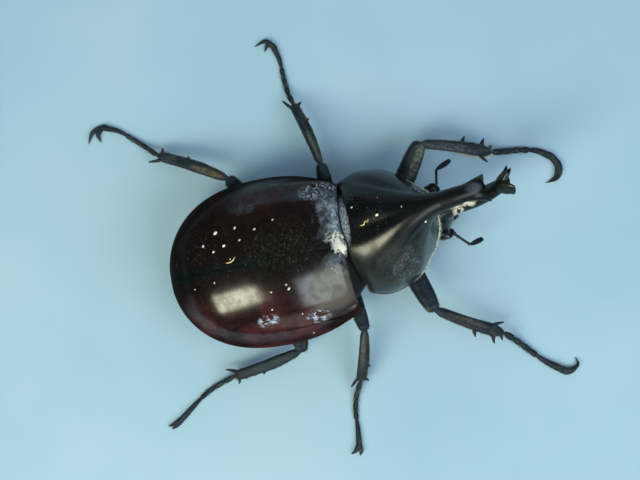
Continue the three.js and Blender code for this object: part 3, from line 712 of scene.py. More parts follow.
def cover_material(colours, sizes):
    """Polished near-black shell, red on the flanks and most on the lit right one, olive by the seam, with
    dried pale dirt at its front, and a pale haze and film on the right front that are partly painted sheen and
    highlight.
    """
    shader = Shader("Wing cover shell")
    x, y, _ = shader.axes()
    cloud = shader.noise(4.5, 4.0, 0.6)
    streak = shader.noise(1.3, 4.0, 0.62, (1, 3.5, 1), math.radians(8))
    mottle = cloud.band(0.4, 0.62) * 0.65 + streak.band(0.42, 0.62) * 0.35
    # The red is strongest on the right flank, which faces the main lamps, and faint on the left: partly the
    # shell's own red, partly painted light on the lit side.
    right = (0 - x).band(2.0, 9.5)
    left = x.band(2.5, 9.0) * 0.22 * (1 - y.band(15.0, 23.0))
    red = (right + left + 0.04) * (mottle * 0.95 + 0.05)
    shell = shader.mix(red.least(1.0), colours.cover_dark, colours.cover_red)
    seam = (1 - x.size().band(0.3, 1.3)) * y.band(10.0, 15.0)
    shell = shader.mix(seam * 0.9, shell, SEAM_TINT)
    speckle = shader.noise(0.42, 5.0, 0.78)
    middle = (1 - (x - 1.0).size().band(0.8, 5.0)) * y.band(2.5, 6.0) * (1 - y.band(12.0, 17.0))
    shell = shader.mix(middle * speckle.band(0.46, 0.62) * 0.65, shell, colours.cover_olive)

    # Pale marks: dried dirt in a ragged band behind the left front edge and in scuffs; a haze by the seam on
    # the right, partly dust and partly painted sheen; a film on the right front, partly dust and partly
    # painted highlight.
    fine = shader.noise(0.55, 6.0, 0.72)
    blotch = shader.noise(1.5, 5.0, 0.68).band(0.4, 0.6)
    ragged = y + shader.noise(1.1, 4.0, 0.65) * 7.0 - 3.5
    band = (1 - ragged.band(0.2, 4.0)) * x.band(0.8, 2.4) * (1 - x.band(6.6, 9.0)) * (blotch * 0.6 + 0.2)
    shoulder = mark(x, y, "shoulder") * speckle.band(0.47, 0.62) * 0.75
    # A pale blue-grey haze by the seam on the right front, partly dust and partly painted sheen, and a faint
    # smudge of dust on the left cover.
    haze_and_sheen = mark(x, y, "haze_and_sheen") * 0.2 + mark(x, y, "smudge") * blotch * 0.05
    # A pale film painted where the broad front highlight falls on the right cover: painted highlight, partly a
    # dusty film.
    film_and_highlight = mark(x, y, "film_and_highlight") * 0.12
    scuffs = mark(x, y, "scuff").most(mark(x, y, "front_scuff"))
    broken = shader.noise(0.75, 5.0, 0.7, (1, 1.7, 1), math.radians(-25)).band(0.48, 0.56)
    dirt = (band * (fine.band(0.3, 0.6) * 0.8 + 0.2) + haze_and_sheen * fine.band(0.34, 0.6)).most(shoulder)
    dirt = dirt.most(scuffs * broken * 0.9).most(speckle.band(0.58, 0.68) * cloud.band(0.42, 0.6) * 0.09)
    near = x + (fine - 0.5) * 5.0
    white = mark(near, ragged, "white") * fine.band(0.36, 0.55)
    white = white.most(mark(near, y, "white_edge") * fine.band(0.3, 0.42))
    shade = shader.mix(white.most(film_and_highlight.band(0.0, 0.1)), colours.dust, colours.cream)
    dirt = dirt.most(white * 0.9).most(film_and_highlight).least(1.0)

    # The polish: dulled at random, on steep faces and the tail, and by what lies on the shell.
    wave = shader.bumps(shader.noise(2.6, 2.0), 0.07)
    grain = shader.bumps(shader.pits(sizes.grain / MM), 0.004, shader.bumps(fine + dirt * 0.8, 0.022, wave))
    smear = shader.noise(1.9, 5.0, 0.66).band(0.36, 0.62) * 0.4 + 0.6
    lull = mark(x, y, "dull_flank").most(mark(x, y, "dull_shoulder") * 0.5)
    facing = shader.upward()
    tail = y.band(11.0, 19.0) * x.band(-7.0, -2.0)
    polish = (facing - tail * 0.25).band(0.35, 0.72) * smear * (1 - lull * 0.85)
    rough = shader.noise(2.2).band(0.25, 0.8) * 0.1 + 0.46 - facing.band(0.3, 0.7) * 0.22
    return shader.finish(
        {"Coat Roughness": 0.17, "Coat IOR": 1.6, "IOR": 1.05},
        Base_Color=shader.mix(dirt, shell, shade),
        Roughness=(rough + dirt * 0.4).least(1.0),
        Coat_Weight=(polish - dirt * 0.8 - film_and_highlight * 2.5).most(0.0),
        Normal=grain,
    )


def shield_material(colours, sizes):
    """Black shell with a satin sheen, olive on its right half, partly its own tone and partly painted sheen
    where the light falls, wrinkled towards the right front margin, with painted sheen at the horn's tip.
    """
    shader = Shader("Shield shell")
    x, y, _ = shader.axes()
    cloud = shader.noise(3.5, 4.0, 0.6)
    fine = shader.noise(0.2, 5.0, 0.7)
    # The right half turns olive: partly the shell's own tone, partly painted sheen on the side that faces the
    # lamps.
    olive = (1 - x.band(-3.5, 0.5)) * (1 - y.band(1.0, 3.0)) * (cloud.band(0.3, 0.65) * 0.6 + 0.4)
    tone = shader.mix(olive, colours.shield, colours.shield_olive_and_sheen)
    side = (1 - x.band(-4.0, -1.0)) * (1 - y.band(-9.0, -4.0))
    wrinkle = shader.noise(0.2, 4.0, 0.65, (1, 6, 1), math.radians(52)).band(0.45, 0.72) * side
    pale = shader.noise(1.1, 4.0, 0.7).band(0.36, 0.6) * 0.22 + 0.05
    tone = shader.mix(wrinkle * pale, tone, colours.dust)
    # Painted lilac-grey sheen at the tip of the shield's horn.
    tone = shader.mix(mark(x, y, "horn_tip_sheen") * cloud.band(0.25, 0.6) * 0.14, tone, colours.dust)
    margin = mark(x, y, "shield_rear") * fine.band(0.42, 0.6)
    specks = mark(x, y, "shield_specks") * shader.noise(0.28, 3.0, 0.7).band(0.63, 0.7)
    dirt = (margin * 0.7 + specks * cloud.band(0.4, 0.6) * 0.3).least(1.0)
    pits = shader.pits(sizes.grain / MM * 1.3)
    grain = shader.bumps(pits, 0.006, shader.bumps(fine * 0.5 + wrinkle * 0.4, 0.02))
    lean = x + y * 0.4
    sheen = (1 - lean.band(-2.2, -0.4)) * y.band(-17.0, -13.5)
    lull = (mark(x, y, "lull_rear") * 0.45).most(mark(x, y, "lull_middle") * 0.8)
    rough = cloud.band(0.3, 0.7) * 0.06 + 0.3 - x.band(-2.5, 1.0) * y.band(-14.5, -11.0) * 0.1
    return shader.finish(
        {"Coat Roughness": 0.24, "IOR": 1.33},
        Base_Color=shader.mix(dirt, tone, colours.dust),
        Coat_Weight=sheen * (cloud.band(0.3, 0.6) * 0.36 + 0.2) * (1 - lull) + 0.05,
        Roughness=(rough + dirt * 0.4).least(1.0),
        Normal=grain,
    )


def rim_material(colours, sizes):
    """The shield's rim, black behind and pale with dried dirt along the front margins."""
    shader = Shader("Shield rim")
    _, y, _ = shader.axes()
    fine = shader.noise(0.5, 4.0, 0.7)
    dirt = (1 - y.band(-12.5, -9.5)) * fine.band(0.36, 0.52)
    return shader.finish(
        {"IOR": 1.4},
        Base_Color=shader.mix(dirt * 0.85, colours.shield, scaled(colours.cream, 0.85)),
        Roughness=dirt * 0.4 + 0.35,
        Normal=shader.bumps(shader.noise(sizes.grain / MM), 0.02),
    )


def head_material(colours, sizes):
    """Black shell, smoother and glossier than the shield, with painted cream glints by the root of the horn.
    """
    shader = Shader("Head shell")
    x, y, z = shader.axes()
    cloud = shader.noise(1.6, 4.0, 0.6)
    fine = shader.noise(0.2, 4.0, 0.7)
    near = x + (cloud - 0.5) * 1.6
    # A cream ring and a streak by the root of the horn, on its right side: painted glints.
    ring = mark(near, y, "ring") * mark(near, y, "ring_hole").band(0.9, 0.3)
    dirt = ring.most(mark(near, y, "horn_glint")) * fine.band(0.36, 0.56) * z.band(9.0, 9.8)
    tone = shader.mix(cloud.band(0.35, 0.7) * 0.5, colours.shield, colours.shield_olive_and_sheen)
    return shader.finish(
        {"Coat Roughness": 0.1, "IOR": 1.36, "Specular Tint": (0.75, 0.92, 1.0)},
        Base_Color=shader.mix(dirt * 0.9, tone, colours.cream),
        Roughness=cloud.band(0.3, 0.7) * 0.12 + 0.26 + dirt * 0.2,
        Coat_Weight=cloud.band(0.3, 0.7) * 0.3 + 0.2,
        Normal=shader.bumps(shader.pits(sizes.grain / MM * 1.2), 0.008, shader.bumps(fine, 0.018)),
    )


# Faces of the legs painted lighter, partly painted highlights and sheen: middle, the way they run in degrees,
# half length and width, and colour.
LEG_HIGHLIGHTS_AND_MARKS = (
    # Painted highlight along the left front thigh; painted bluish sheen on the left front shin.
    ((11.6, -14.2), -33, (3.7, 0.78), (0.13, 0.135, 0.11)),
    ((12.75, -20.4), 76, (5.0, 1.0), (0.07, 0.083, 0.096)),
    # Golden hair on the left hind shin.
    ((16.7, 19.3), 59, (3.2, 0.55), (0.13, 0.1, 0.055)),
    # Painted highlight along the left middle shin.
    ((17.5, 1.45), 12, (3.6, 0.4), (0.09, 0.085, 0.07)),
    # Pale streaks on the right middle and front shins, and a pale spot at the right front knee.
    ((-16.5, -0.05), -14, (3.4, 0.45), (0.085, 0.08, 0.065)),
    ((-15.2, -17.8), 61, (4.2, 0.45), (0.085, 0.08, 0.065)),
    ((-12.3, -11.1), 20, (0.8, 0.6), (0.11, 0.1, 0.055)),
    # Bluish tone and painted sheen on the right front thigh.
    ((-9.4, -12.0), 17, (4.6, 0.8), (0.024, 0.034, 0.055)),
)


def leg_material(colours, sizes):
    """Blue-black shell, coarser and duller than the body, with specks of dirt, painted bluish sheen on its
    upper faces, and a few faces painted lighter.
    """
    shader = Shader("Leg shell")
    x, y, _ = shader.axes()
    cloud = shader.noise(2.2, 4.0, 0.6)
    fine = shader.noise(0.3, 4.0, 0.7)
    patchy = shader.noise(0.5, 5.0, 0.72).band(0.4, 0.6) * 0.75 + 0.15
    # Upward faces turn bluish: painted sheen where light falls from above, partly a dusty bloom.
    upward_sheen = shader.upward().band(0.45, 1.0)
    tone = shader.mix(upward_sheen * (cloud.band(0.35, 0.65) * 0.6 + 0.15), colours.leg, colours.bloom_and_sheen)
    # Each face mixes its colour in: painted highlights and sheen on some, golden hair and pale streaks on
    # others.
    for (across, along), turn, half, tint in LEG_HIGHLIGHTS_AND_MARKS:
        cos, sin = math.cos(math.radians(turn)), math.sin(math.radians(turn))
        right, ahead = x - across, y - along
        spot = patch(right * cos + ahead * sin, ahead * cos - right * sin, (0, 0), half)
        tone = shader.mix(spot * patchy, tone, tint)
    specks = shader.noise(0.24, 3.0, 0.7).band(0.6, 0.66) * cloud.band(0.42, 0.6)
    return shader.finish(
        {"IOR": 1.3, "Specular Tint": (0.7, 0.9, 1.0)},
        Base_Color=shader.mix(specks * 0.6, tone, scaled(colours.cream, 0.4)),
        Roughness=cloud.band(0.3, 0.7) * 0.12 + 0.42 + specks * 0.2,
        Normal=shader.bumps(shader.pits(sizes.grain / MM * 1.4), 0.02, shader.bumps(fine, 0.06)),
    )


def under_material(colours, sizes):
    """Dark brown underside with a dull gloss, black where it shows between the covers and the shield."""
    shader = Shader("Underside shell")
    _, _, z = shader.axes()
    cloud = shader.noise(2.5, 4.0, 0.6)
    pits = shader.pits(sizes.grain / MM * 1.5)
    tone = shader.mix(cloud.band(0.35, 0.65), colours.under, scaled(colours.under, 1.8))
    waist = z.band(7.5, 9.5)
    return shader.finish(
        {"IOR": 1.36},
        Base_Color=shader.mix(waist, tone, colours.shield),
        Roughness=cloud.band(0.3, 0.7) * 0.16 + waist * 0.3 + 0.34,
        Normal=shader.bumps(pits, 0.02, shader.bumps(shader.noise(0.3), 0.03)),
    )


def eye_material():
    """Polished black, with a fine net of facets."""
    shader = Shader("Eye")
    facets = shader.cells(0.09, feature="SMOOTH_F1")
    tone = shader.mix(shader.noise(0.8).band(0.3, 0.7), *EYE_TINTS)
    return shader.finish(
        {"Coat Weight": 0.6, "Coat Roughness": 0.04},
        Base_Color=tone,
        Roughness=facets.band(0.0, 0.8) * 0.08 + 0.1,
        Normal=shader.bumps(facets, 0.008),
    )


def hair_material(name, tint):
    """Hair or crumbs, with a little change of colour from one to the next."""
    shader = Shader(name)
    change = shader.noise(0.6, 2.0).band(0.3, 0.7)
    return shader.finish(
        {"IOR": 1.5},
        Base_Color=shader.mix(change, scaled(tint, 0.6), tuple(min(c, 1.0) for c in scaled(tint, 1.2))),
        Roughness=change * 0.1 + 0.45,
    )


def material(name, make, *values):
    """A material by name, made once."""
    return bpy.data.materials.get(name) or make(*values)


def finishes(context):
    """The beetle's materials, by plain names."""
    colours, sizes = context.scene.beetle_colours, context.scene.beetle_sizes
    looks = {"eye": material("Eye", eye_material)}
    for key, name, make in (
        ("cover", "Wing cover shell", cover_material),
        ("shield", "Shield shell", shield_material),
        ("rim", "Shield rim", rim_material),
        ("head", "Head shell", head_material),
        ("leg", "Leg shell", leg_material),
        ("under", "Underside shell", under_material),
    ):
        looks[key] = material(name, make, colours, sizes)
    for key, name, tint, share in (
        ("hair", "Golden hair", colours.hair, 1.0),
        ("brown", "Brown hair", colours.hair, 0.5),
        ("dark", "Dark hair", colours.hair, 0.2),
        ("pale", "Pale hair", colours.cream, 0.8),
        ("crumb", "Cream crumbs", colours.cream, 1.0),
        ("straw", "Yellow fibres", FIBRE_TINT, 1.0),
    ):
        looks[key] = material(name, hair_material, name, scaled(tint, share))
    return looks


# ---------------------------------------------------------------- wing covers and trunk


def back_share(y, start):
    """How far y is from start to where the dome would close, from 0 to 1."""
    return np.clip((y - start) / (REAR - start + REAR_SLACK), 0, 1)


def cover_half(y):
    """Half the width of the pair of wing covers."""
    front = WIDEST_HALF - (WIDEST_HALF - SHOULDER_HALF) * ((WIDEST_AT - y) / WIDEST_AT) ** 2
    back = WIDEST_HALF * np.sqrt(1 - back_share(y, WIDEST_AT) ** 2.4)
    return np.where(y < WIDEST_AT, front, back)


def cover_mid(y):
    """Height of the covers' widest line."""
    return through(WIDEST_HEIGHT, np.minimum(y / REAR, 1))


def cover_top(y):
    """Height of the covers' crest."""
    front = CREST - (CREST - SHOULDER_TOP) * ((CREST_AT - y) / CREST_AT) ** 2
    back = TAIL + (CREST - TAIL) * (1 - back_share(y, CREST_AT) ** 2.5) ** 0.55
    return np.where(y < CREST_AT, front, back)


def dome(s, a):
    """A point of the dome: s runs from the front edge to the tail, a is the angle from the crest outwards."""
    y = (REAR + TAIL_CAP) * (1 - (1 - s) ** 1.6)
    mid = cover_mid(y)
    reach = np.where(np.cos(a) < 0, TUCK, np.maximum(cover_top(y) - mid, 0.1))
    x = cover_half(y) * power(np.sin(a), ROUNDNESS)
    forward = SWEEP * (1 - s) ** 3 * (x / SHOULDER_HALF) ** 2
    z = mid + reach * power(np.cos(a), ROUNDNESS)
    return np.stack([x, y - forward, z], axis=-1)


def cover_relief(s, a, groove):
    """How far the cover's outer face stands off the dome, in millimetres."""
    degrees = np.degrees(a)
    x = np.abs(dome(s, a)[..., 0])
    seam = -groove * bell(x, 0.0, 0.2)
    humps = 0.12 * bell(s, 0.1, 0.08) * bell(degrees, 37, 16)
    humps = humps + 0.2 * bell(s, 0.8, 0.08) * bell(degrees, 46, 13)
    # A keel runs back from the shoulder along the flank, with a valley above it.
    keel_at = 55 + 12 * (1 - ramp(s, 0.03, 0.17))
    valley = -0.36 * bell(degrees, keel_at - 9, 4.5) * (1 - ramp(s, 0.09, 0.2))
    keel = 0.16 * bell(degrees, keel_at, 6) * (1 - ramp(s, 0.17, 0.32))
    # Faint ribs run from front to rear along the middle of each cover.
    ribs = 0.02 * np.cos(a / math.radians(9)) * ramp(degrees, 8, 20) * (1 - ramp(degrees, 60, 75))
    ribs = ribs * ramp(s, 0.05, 0.2) * (1 - ramp(s, 0.7, 0.9))
    margin_groove = -0.06 * bell(degrees, 92, 6)
    return seam + humps + valley + keel + ribs + margin_groove


def cover_rings(groove, rows=150, columns=96):
    """Rings of the left wing cover, out over its outer face and back under its inner one."""
    s = (COVER_START + COVER_SPAN * np.linspace(0, 1, rows + 1))[:, None]
    share = np.linspace(0, 1, columns + 1)[None]
    a = SEAM_ANGLE + (COVER_EDGE - SEAM_ANGLE) * share**1.15
    base = dome(s, a)
    facing = normals(base, closed=False)
    facing *= np.sign(facing[rows // 2, columns // 2, 0])
    near_end = np.clip(np.minimum(s - COVER_START, COVER_START + COVER_SPAN - s) / 0.03, 0, 1)
    near_edge = np.clip((1 - share) / 0.05, 0, 1)
    body = np.sqrt(1 - (1 - near_end) ** 2) * np.sqrt(1 - (1 - near_edge) ** 2)
    half = COVER_THICK / 2 * np.maximum(body, 0.05)
    relief = cover_relief(s, a, groove) * body
    outer = base + facing * (half - COVER_THICK / 2 + relief)[..., None]
    inner = base - facing * (half + COVER_THICK / 2)[..., None]
    rings = np.concatenate([outer, inner[:, ::-1]], axis=1)
    rings[..., 0] = np.maximum(rings[..., 0], SEAM_GAP)
    return rings


def trunk_rings(start, end, steps, bottom):
    """Rings of one length of the trunk, under the wing covers."""

    def half(y):
        return cover_half(y + 0.7) - TRUNK_INSET - 0.5

    def mid(y):
        return cover_mid(y) - 0.8

    def top(y):
        return np.maximum(cover_top(y + 0.7) - TRUNK_INSET, cover_mid(y) - 0.6)

    return barrel(start, end, half, mid, top, bottom, steps)


def belly_line(y):
    """The lowest line of the trunk."""
    return through(BELLY_LINE, y / REAR)


def plated_line(y):
    """The belly's plates overlap like roof tiles: each starts a little proud of the one before it."""
    share = (y - WAIST) / (LAST_PLATE - WAIST) * BELLY_PLATES
    step = share - np.floor(share)
    return belly_line(y) + 0.3 * step**1.6 - 0.12 * bell(step, 0.04, 0.05)


def breast_line(y):
    """The breast, with a shallow groove down its middle third."""
    return belly_line(y) + 0.25 * bell(y, 5.5, 3.0)


class BEETLE_OT_wing_covers(bpy.types.Operator):
    """Builds the two wing covers and the small plate between them"""

    bl_idname = "beetle.wing_covers"
    bl_label = "Wing covers"

    def execute(self, context):
        finish = finishes(context)["cover"]
        rings = cover_rings(context.scene.beetle_sizes.seam_groove / MM)
        for side, sign in SIDES.items():
            shape = Shape().skin(rings * (sign, 1, 1), crescent=True)
            piece(f"wing_cover_{side}", shape, finish, [f"elytron_{side}"])
        plate = limb(SCUTELLUM, (1.9, 1.75, 0.25), (0.75, 0.7, 0.4), blunt=0.12)
        piece("scutellum_plate", Shape().skin(plate), finish, ["scutellum"])
        return {"FINISHED"}


class BEETLE_OT_trunk(bpy.types.Operator):
    """Builds the trunk: the two rear parts of the thorax, the plated belly and the tail plate"""

    bl_idname = "beetle.trunk"
    bl_label = "Trunk"

    def execute(self, context):
        finish = finishes(context)["under"]
        parts = {
            "metathorax": trunk_rings(BELLY_START, WAIST + 0.1, 40, breast_line),
            "abdomen": trunk_rings(WAIST, LAST_PLATE + 0.1, 190, plated_line),
            "pygidium": trunk_rings(LAST_PLATE, BELLY_END, 30, belly_line),
            "mesothorax": barrel(NECK_START, NECK_END, *NECK, steps=24),
        }
        for name, rings in parts.items():
            piece(f"{name}_plates", Shape().skin(rings), finish, [name])
        return {"FINISHED"}


# ---------------------------------------------------------------- shield and horns


def shield_rings(columns=220, rows=90):
    """Rings of the shield, from the horn's root out to its edge and in again to the breast."""
    turn = 2 * math.pi * np.arange(columns) / columns
    around = np.where(turn <= math.pi, turn / math.pi, 2 - turn / math.pi)
    side = np.where(turn <= math.pi, 1, -1)
    edge = through(SHIELD_EDGE, around)
    edge[:, 1] *= side

    def at(forward, left, height):
        return np.stack([forward, left, height], axis=-1)

    root_forward, root_height = HORN_ROOT
    sideways, upward = HORN_WIDE * np.sin(turn), root_height + HORN_DEEP * np.cos(turn)
    # From the horn's root each ring line first runs back and down, and meets the edge from above.
    back, rise = through((6.2, 5.4, 4.2, 2.2, 1.6), around), through((0.2, -0.1, -0.9, -1.0, -0.4), around)
    inward = through((5.2, 2.2, 0.2, -0.6, -0.9), around)
    outward = side * through((0, 0.4, 0.7, 0.5, 0), around)
    above = through((2.3, 3.8, 5.4, 3.4, 2.0), around)
    curve = (
        at(np.full(columns, root_forward), sideways, upward),
        at(root_forward - back, sideways * 1.25, upward + rise),
        edge + at(inward, outward, above),
        edge,
    )
    t = np.linspace(0, 1, rows + 1)[:, None, None]
    weights = ((1 - t) ** 3, 3 * t * (1 - t) ** 2, 3 * t**2 * (1 - t), t**3)
    top = sum(w * p[None] for w, p in zip(weights, curve))

    def low(narrow, height):
        centre = 8
        forward = centre + (edge[:, 0] - centre) * narrow
        return at(forward, edge[:, 1] * narrow, np.minimum(edge[:, 2], height))

    levels = np.stack([edge, low(0.93, 7.4), low(0.78, 5.6), low(0.45, 4.7)])
    under = through(levels, np.linspace(0, 1, 31)[1:])
    return np.concatenate([top, under]), len(top) - 1


def shield_horn():
    """The shield's horn: forward over the head, forked and bent down at the tip."""
    forward, height = HORN_ROOT
    line = ((forward - 0.4, 0, height), (18.2, 0, 18.5), (20.6, 0, 18.6), (22.9, 0, 18.0))
    wide, deep = (HORN_WIDE, 1.45, 1.35, 1.5), (HORN_DEEP, 1.35, 1.05, 0.5)
    shape = Shape().skin(limb(fore(line), wide, deep, sides=48, blunt=0.03))
    prong = ((18.8, 0.2, 18.5), (20.8, 0.5, 18.5), (22.2, 1.15, 18.1), (23.4, 2.3, 16.9))
    for side in (1, -1):
        shape.skin(limb(fore(prong, side), (1.1, 1.1, 0.85, 0.1), (0.9, 0.85, 0.55, 0.12)))
    return shape


def shield_bead(rim, sides=10):
    """A bead along the shield's edge, thicker in front."""
    outward = unit(rim - rim.mean(axis=0))
    angle = (2 * math.pi * np.arange(sides) / sides)[None, :, None]
    thick = (RIM_THICK + RIM_SWELL * ramp(-rim[:, 1], 9, 12))[:, None, None]
    bead = rim[:, None] + thick * (outward[:, None] * np.cos(angle) + np.array((0, 0, 1)) * np.sin(angle))
    index = np.arange(bead[..., 0].size).reshape(bead.shape[:2])
    on, up = np.roll(index, -1, axis=0), np.roll(index, -1, axis=1)
    faces = np.stack([index, up, np.roll(on, -1, axis=1), on], axis=-1).reshape(-1, 4).tolist()
    return Shape().add(bead, faces)


class BEETLE_OT_shield(bpy.types.Operator):
    """Builds the shield of the front body with the forked horn that grows from it"""

    bl_idname = "beetle.shield"
    bl_label = "Shield and horn"

    def execute(self, context):
        looks = finishes(context)
        rings, edge = shield_rings()
        shape = shield_horn()
        shape.skin(fore(rings))
        nodes = ["pronotum", "thoracic_horn"]
        piece("shield_plate", shape, looks["shield"], nodes, voxel=0.1, relax=8)
        piece("shield_rim", shield_bead(fore(rings[edge])), looks["rim"])
        return {"FINISHED"}


# ---------------------------------------------------------------- head


# The fork of the head's horn: each tip's line, half widths, half depths and how blunt it is. The left one has
# a small second point, the right one is broad and blunt, and a web lies between them.
HORN_TIPS = (
    (((24.9, 0, 16.2), (26.4, 1.0, 17.5), (27.1, 2.2, 18.4)), (1.0, 0.85, 0.14), (0.6, 0.45, 0.12), 0.3),
    (((25.6, 0.5, 16.9), (26.9, 0.9, 17.8), (27.6, 1.75, 18.2)), (0.6, 0.5, 0.14), (0.4, 0.3, 0.12), 0.3),
    (((24.9, 0, 16.2), (26.1, -1.0, 17.3), (27.2, -1.95, 17.9)), (1.1, 1.2, 0.95), (0.65, 0.5, 0.3), 0.1),
    (((25.0, 0, 16.4), (26.2, 0, 17.4), (26.9, -0.1, 17.8)), (1.1, 1.2, 0.6), (0.5, 0.38, 0.16), 0.2),
)


def head_shape():
    """The head with its face plate, eye ridges and forked horn, as overlapping bodies."""
    capsule = barrel(HEAD_START, HEAD_END, *HEAD, steps=40, sides=64)
    shape = Shape().skin(fore(np.stack([-capsule[..., 1], capsule[..., 0], capsule[..., 2]], axis=-1)))
    line = ((15.0, 0, 8.6), (18.4, -0.1, 9.7), (21.6, -0.3, 11.6), (24.2, -0.35, 14.6), (26.6, -0.1, 17.4))
    wide, deep = (2.3, 1.45, 1.4, 1.3, 1.1), (2.0, 1.4, 1.1, 0.8, 0.4)
    shape.skin(limb(fore(line), wide, deep, up=(0, 1, 0), sides=40, steps=80))
    for tip, wide, deep, blunt in HORN_TIPS:
        shape.skin(limb(fore(tip), wide, deep, up=(0, 1, 0), steps=50, blunt=blunt))
    ridge = ((14.9, 2.9, 9.2), (16.2, 4.2, 8.9), (17.3, 3.3, 7.9))
    lobe = ((17.2, 0.7, 7.2), (18.3, 0.9, 6.5), (18.8, 0.9, 6.2))
    for side in (1, -1):
        shape.skin(limb(fore(ridge, side), (0.5, 0.55, 0.4), (0.22, 0.24, 0.22)))
        shape.skin(limb(fore(lobe, side), (1.2, 0.95, 0.6), (0.5, 0.4, 0.28)))
    return shape


def jaw_shape(side):
    """A curved jaw with a notched tip."""
    line = ((17.4, 0.9, 5.2), (18.3, 1.0, 4.7), (19.1, 0.5, 4.6))
    tooth = ((18.2, 1.0, 4.8), (18.9, 1.2, 4.9), (19.2, 0.95, 5.1))
    shape = Shape().skin(limb(fore(line, side), (0.5, 0.5, 0.16), (0.45, 0.42, 0.16)))
    return shape.skin(limb(fore(tooth, side), (0.28, 0.24, 0.1)))


def beaded(line, parts, thick, narrow=0.6, steps=14, sides=20):
    """A row of joints along a line, each narrow at its root and full near its far end. parts are their ends
    from 0 to 1, and thick their radii."""
    shape = Shape()
    for start, end, radius in zip(parts[:-1], parts[1:], thick):
        reach = end - start
        points = through(line, np.linspace(max(start - 0.06 * reach, 0), end, 5))
        wide = [radius * k for k in (narrow, 0.78, 0.95, 1.0, 0.9)]
        shape.skin(limb(points, wide, sides=sides, steps=steps, blunt=0.12))
    return shape


class BEETLE_OT_head(bpy.types.Operator):
    """Builds the head with its forked horn, the eyes and the jaws"""

    bl_idname = "beetle.head"
    bl_label = "Head"

    def execute(self, context):
        looks = finishes(context)
        nodes = ["head", "cephalic_horn"]
        piece("head_plate", head_shape(), looks["head"], nodes, voxel=0.07, relax=6)
        for name, side in SIDES.items():
            eyeball = Shape().skin(ball(fore(EYE_PLACE, side), np.eye(3), (EYE_RADIUS,) * 3))
            piece(f"eyeball_{name}", eyeball, looks["eye"], [f"eye_{name}"])
            piece(f"jaw_{name}", jaw_shape(side), looks["head"], [f"mandible_{name}"])
            palp = fore(((16.4, 1.3, 4.5), (17.0, 1.9, 3.6), (17.9, 1.7, 2.9)), side)
            shape = beaded(palp, (0, 0.3, 0.55, 0.75, 1.0), (0.26, 0.28, 0.26, 0.3))
            piece(f"mouth_feeler_{name}", shape, looks["leg"], [f"palp_{name}"])
        return {"FINISHED"}


# ---------------------------------------------------------------- feelers


def club_shape(start, end):
    """Three leaves, folded together like a closed fan."""
    start, end = np.array(start, float), np.array(end, float)
    shape = Shape()
    across = unit(np.cross(end - start, (0, 0, 1)))
    for spread in (-1, 0, 1):
        tip = end + across * spread * 0.2 + np.array((0, 0, 0.04 * spread))
        root = start + across * spread * 0.12
        middle = (root + tip) / 2 + across * spread * 0.1
        shape.skin(limb((root, middle, tip), (0.14, 0.19, 0.17), (0.3, 0.58, 0.5), blunt=0.3, steps=30))
    return shape


class BEETLE_OT_feelers(bpy.types.Operator):
    """Builds the two feelers: a long first joint, small beads and a leaved club"""

    bl_idname = "beetle.feelers"
    bl_label = "Feelers"

    def execute(self, context):
        finish = finishes(context)["leg"]
        for name, side, bend, elbow, tip in (
            ("left", 1, (17.2, 4.4, 6.9), (18.0, 6.9, 6.9), (20.8, 7.8, 6.2)),
            ("right", -1, (17.6, -4.2, 6.8), (19.4, -6.3, 5.8), (21.8, -5.9, 5.1)),
        ):
            line = fore(((16.6, side * 2.6, 7.0), bend, elbow))
            parts = (0.0, 0.52, 0.62, 0.7, 0.78, 0.86, 0.93, 1.0)
            shape = beaded(line, parts, (0.33, 0.25, 0.24, 0.24, 0.24, 0.25, 0.28))
            piece(f"feeler_{name}", shape, finish, [f"antenna_{name}"])
            club = club_shape(*fore((elbow, tip)))
            piece(f"feeler_club_{name}", club, finish, [f"antenna_club_{name}"])
        return {"FINISHED"}


# ---------------------------------------------------------------- legs


def kind_of(name):
    """front, middle or hind."""
    return name.split("_")[0]


def outward_of(name):
    """The direction of a shin's outer, toothed edge."""
    side = 1 if name.endswith("left") else -1
    return {"front": (side, 0, 0), "middle": (0, -1, 0), "hind": (side, -0.6, 0)}[kind_of(name)]


def femur_rings(name):
    """Rings of a thigh, where it stands."""
    leg, shape = LEGS[name], LEG_SHAPE[kind_of(name)]
    reach = math.dist(leg["hip"], leg["knee"])
    wide, deep = shape["femur"]
    line = ((0, 0, 0), (reach / 2, 0, 0), (reach + 0.4, 0, 0))
    rings = limb(line, wide, deep, sides=44, steps=70, blunt=0.06, flat=0.72)
    return stood(rings, leg["hip"], leg["knee"], (0, -1 if kind_of(name) == "front" else 1, 0))


def shin_relief(t, angle):
    """Four low ridges along a shin."""
    return 1 - 0.09 * np.cos(2 * angle) ** 2 * ramp(t, 0.1, 0.3)


def tibia_rings(name):
    """Rings of a shin without its teeth, modelled along +X."""
    leg, shape = LEGS[name], LEG_SHAPE[kind_of(name)]
    reach = math.dist(leg["knee"], leg["ankle"])
    wide, deep = shape["tibia"]
    line = ((0, 0, 0), (reach / 2, 0.25, 0), (reach, 0, 0))
    rings = limb(line, wide, deep, sides=40, steps=80, relief=shin_relief, flat=0.85, blunt=0.12)
    return rings, reach


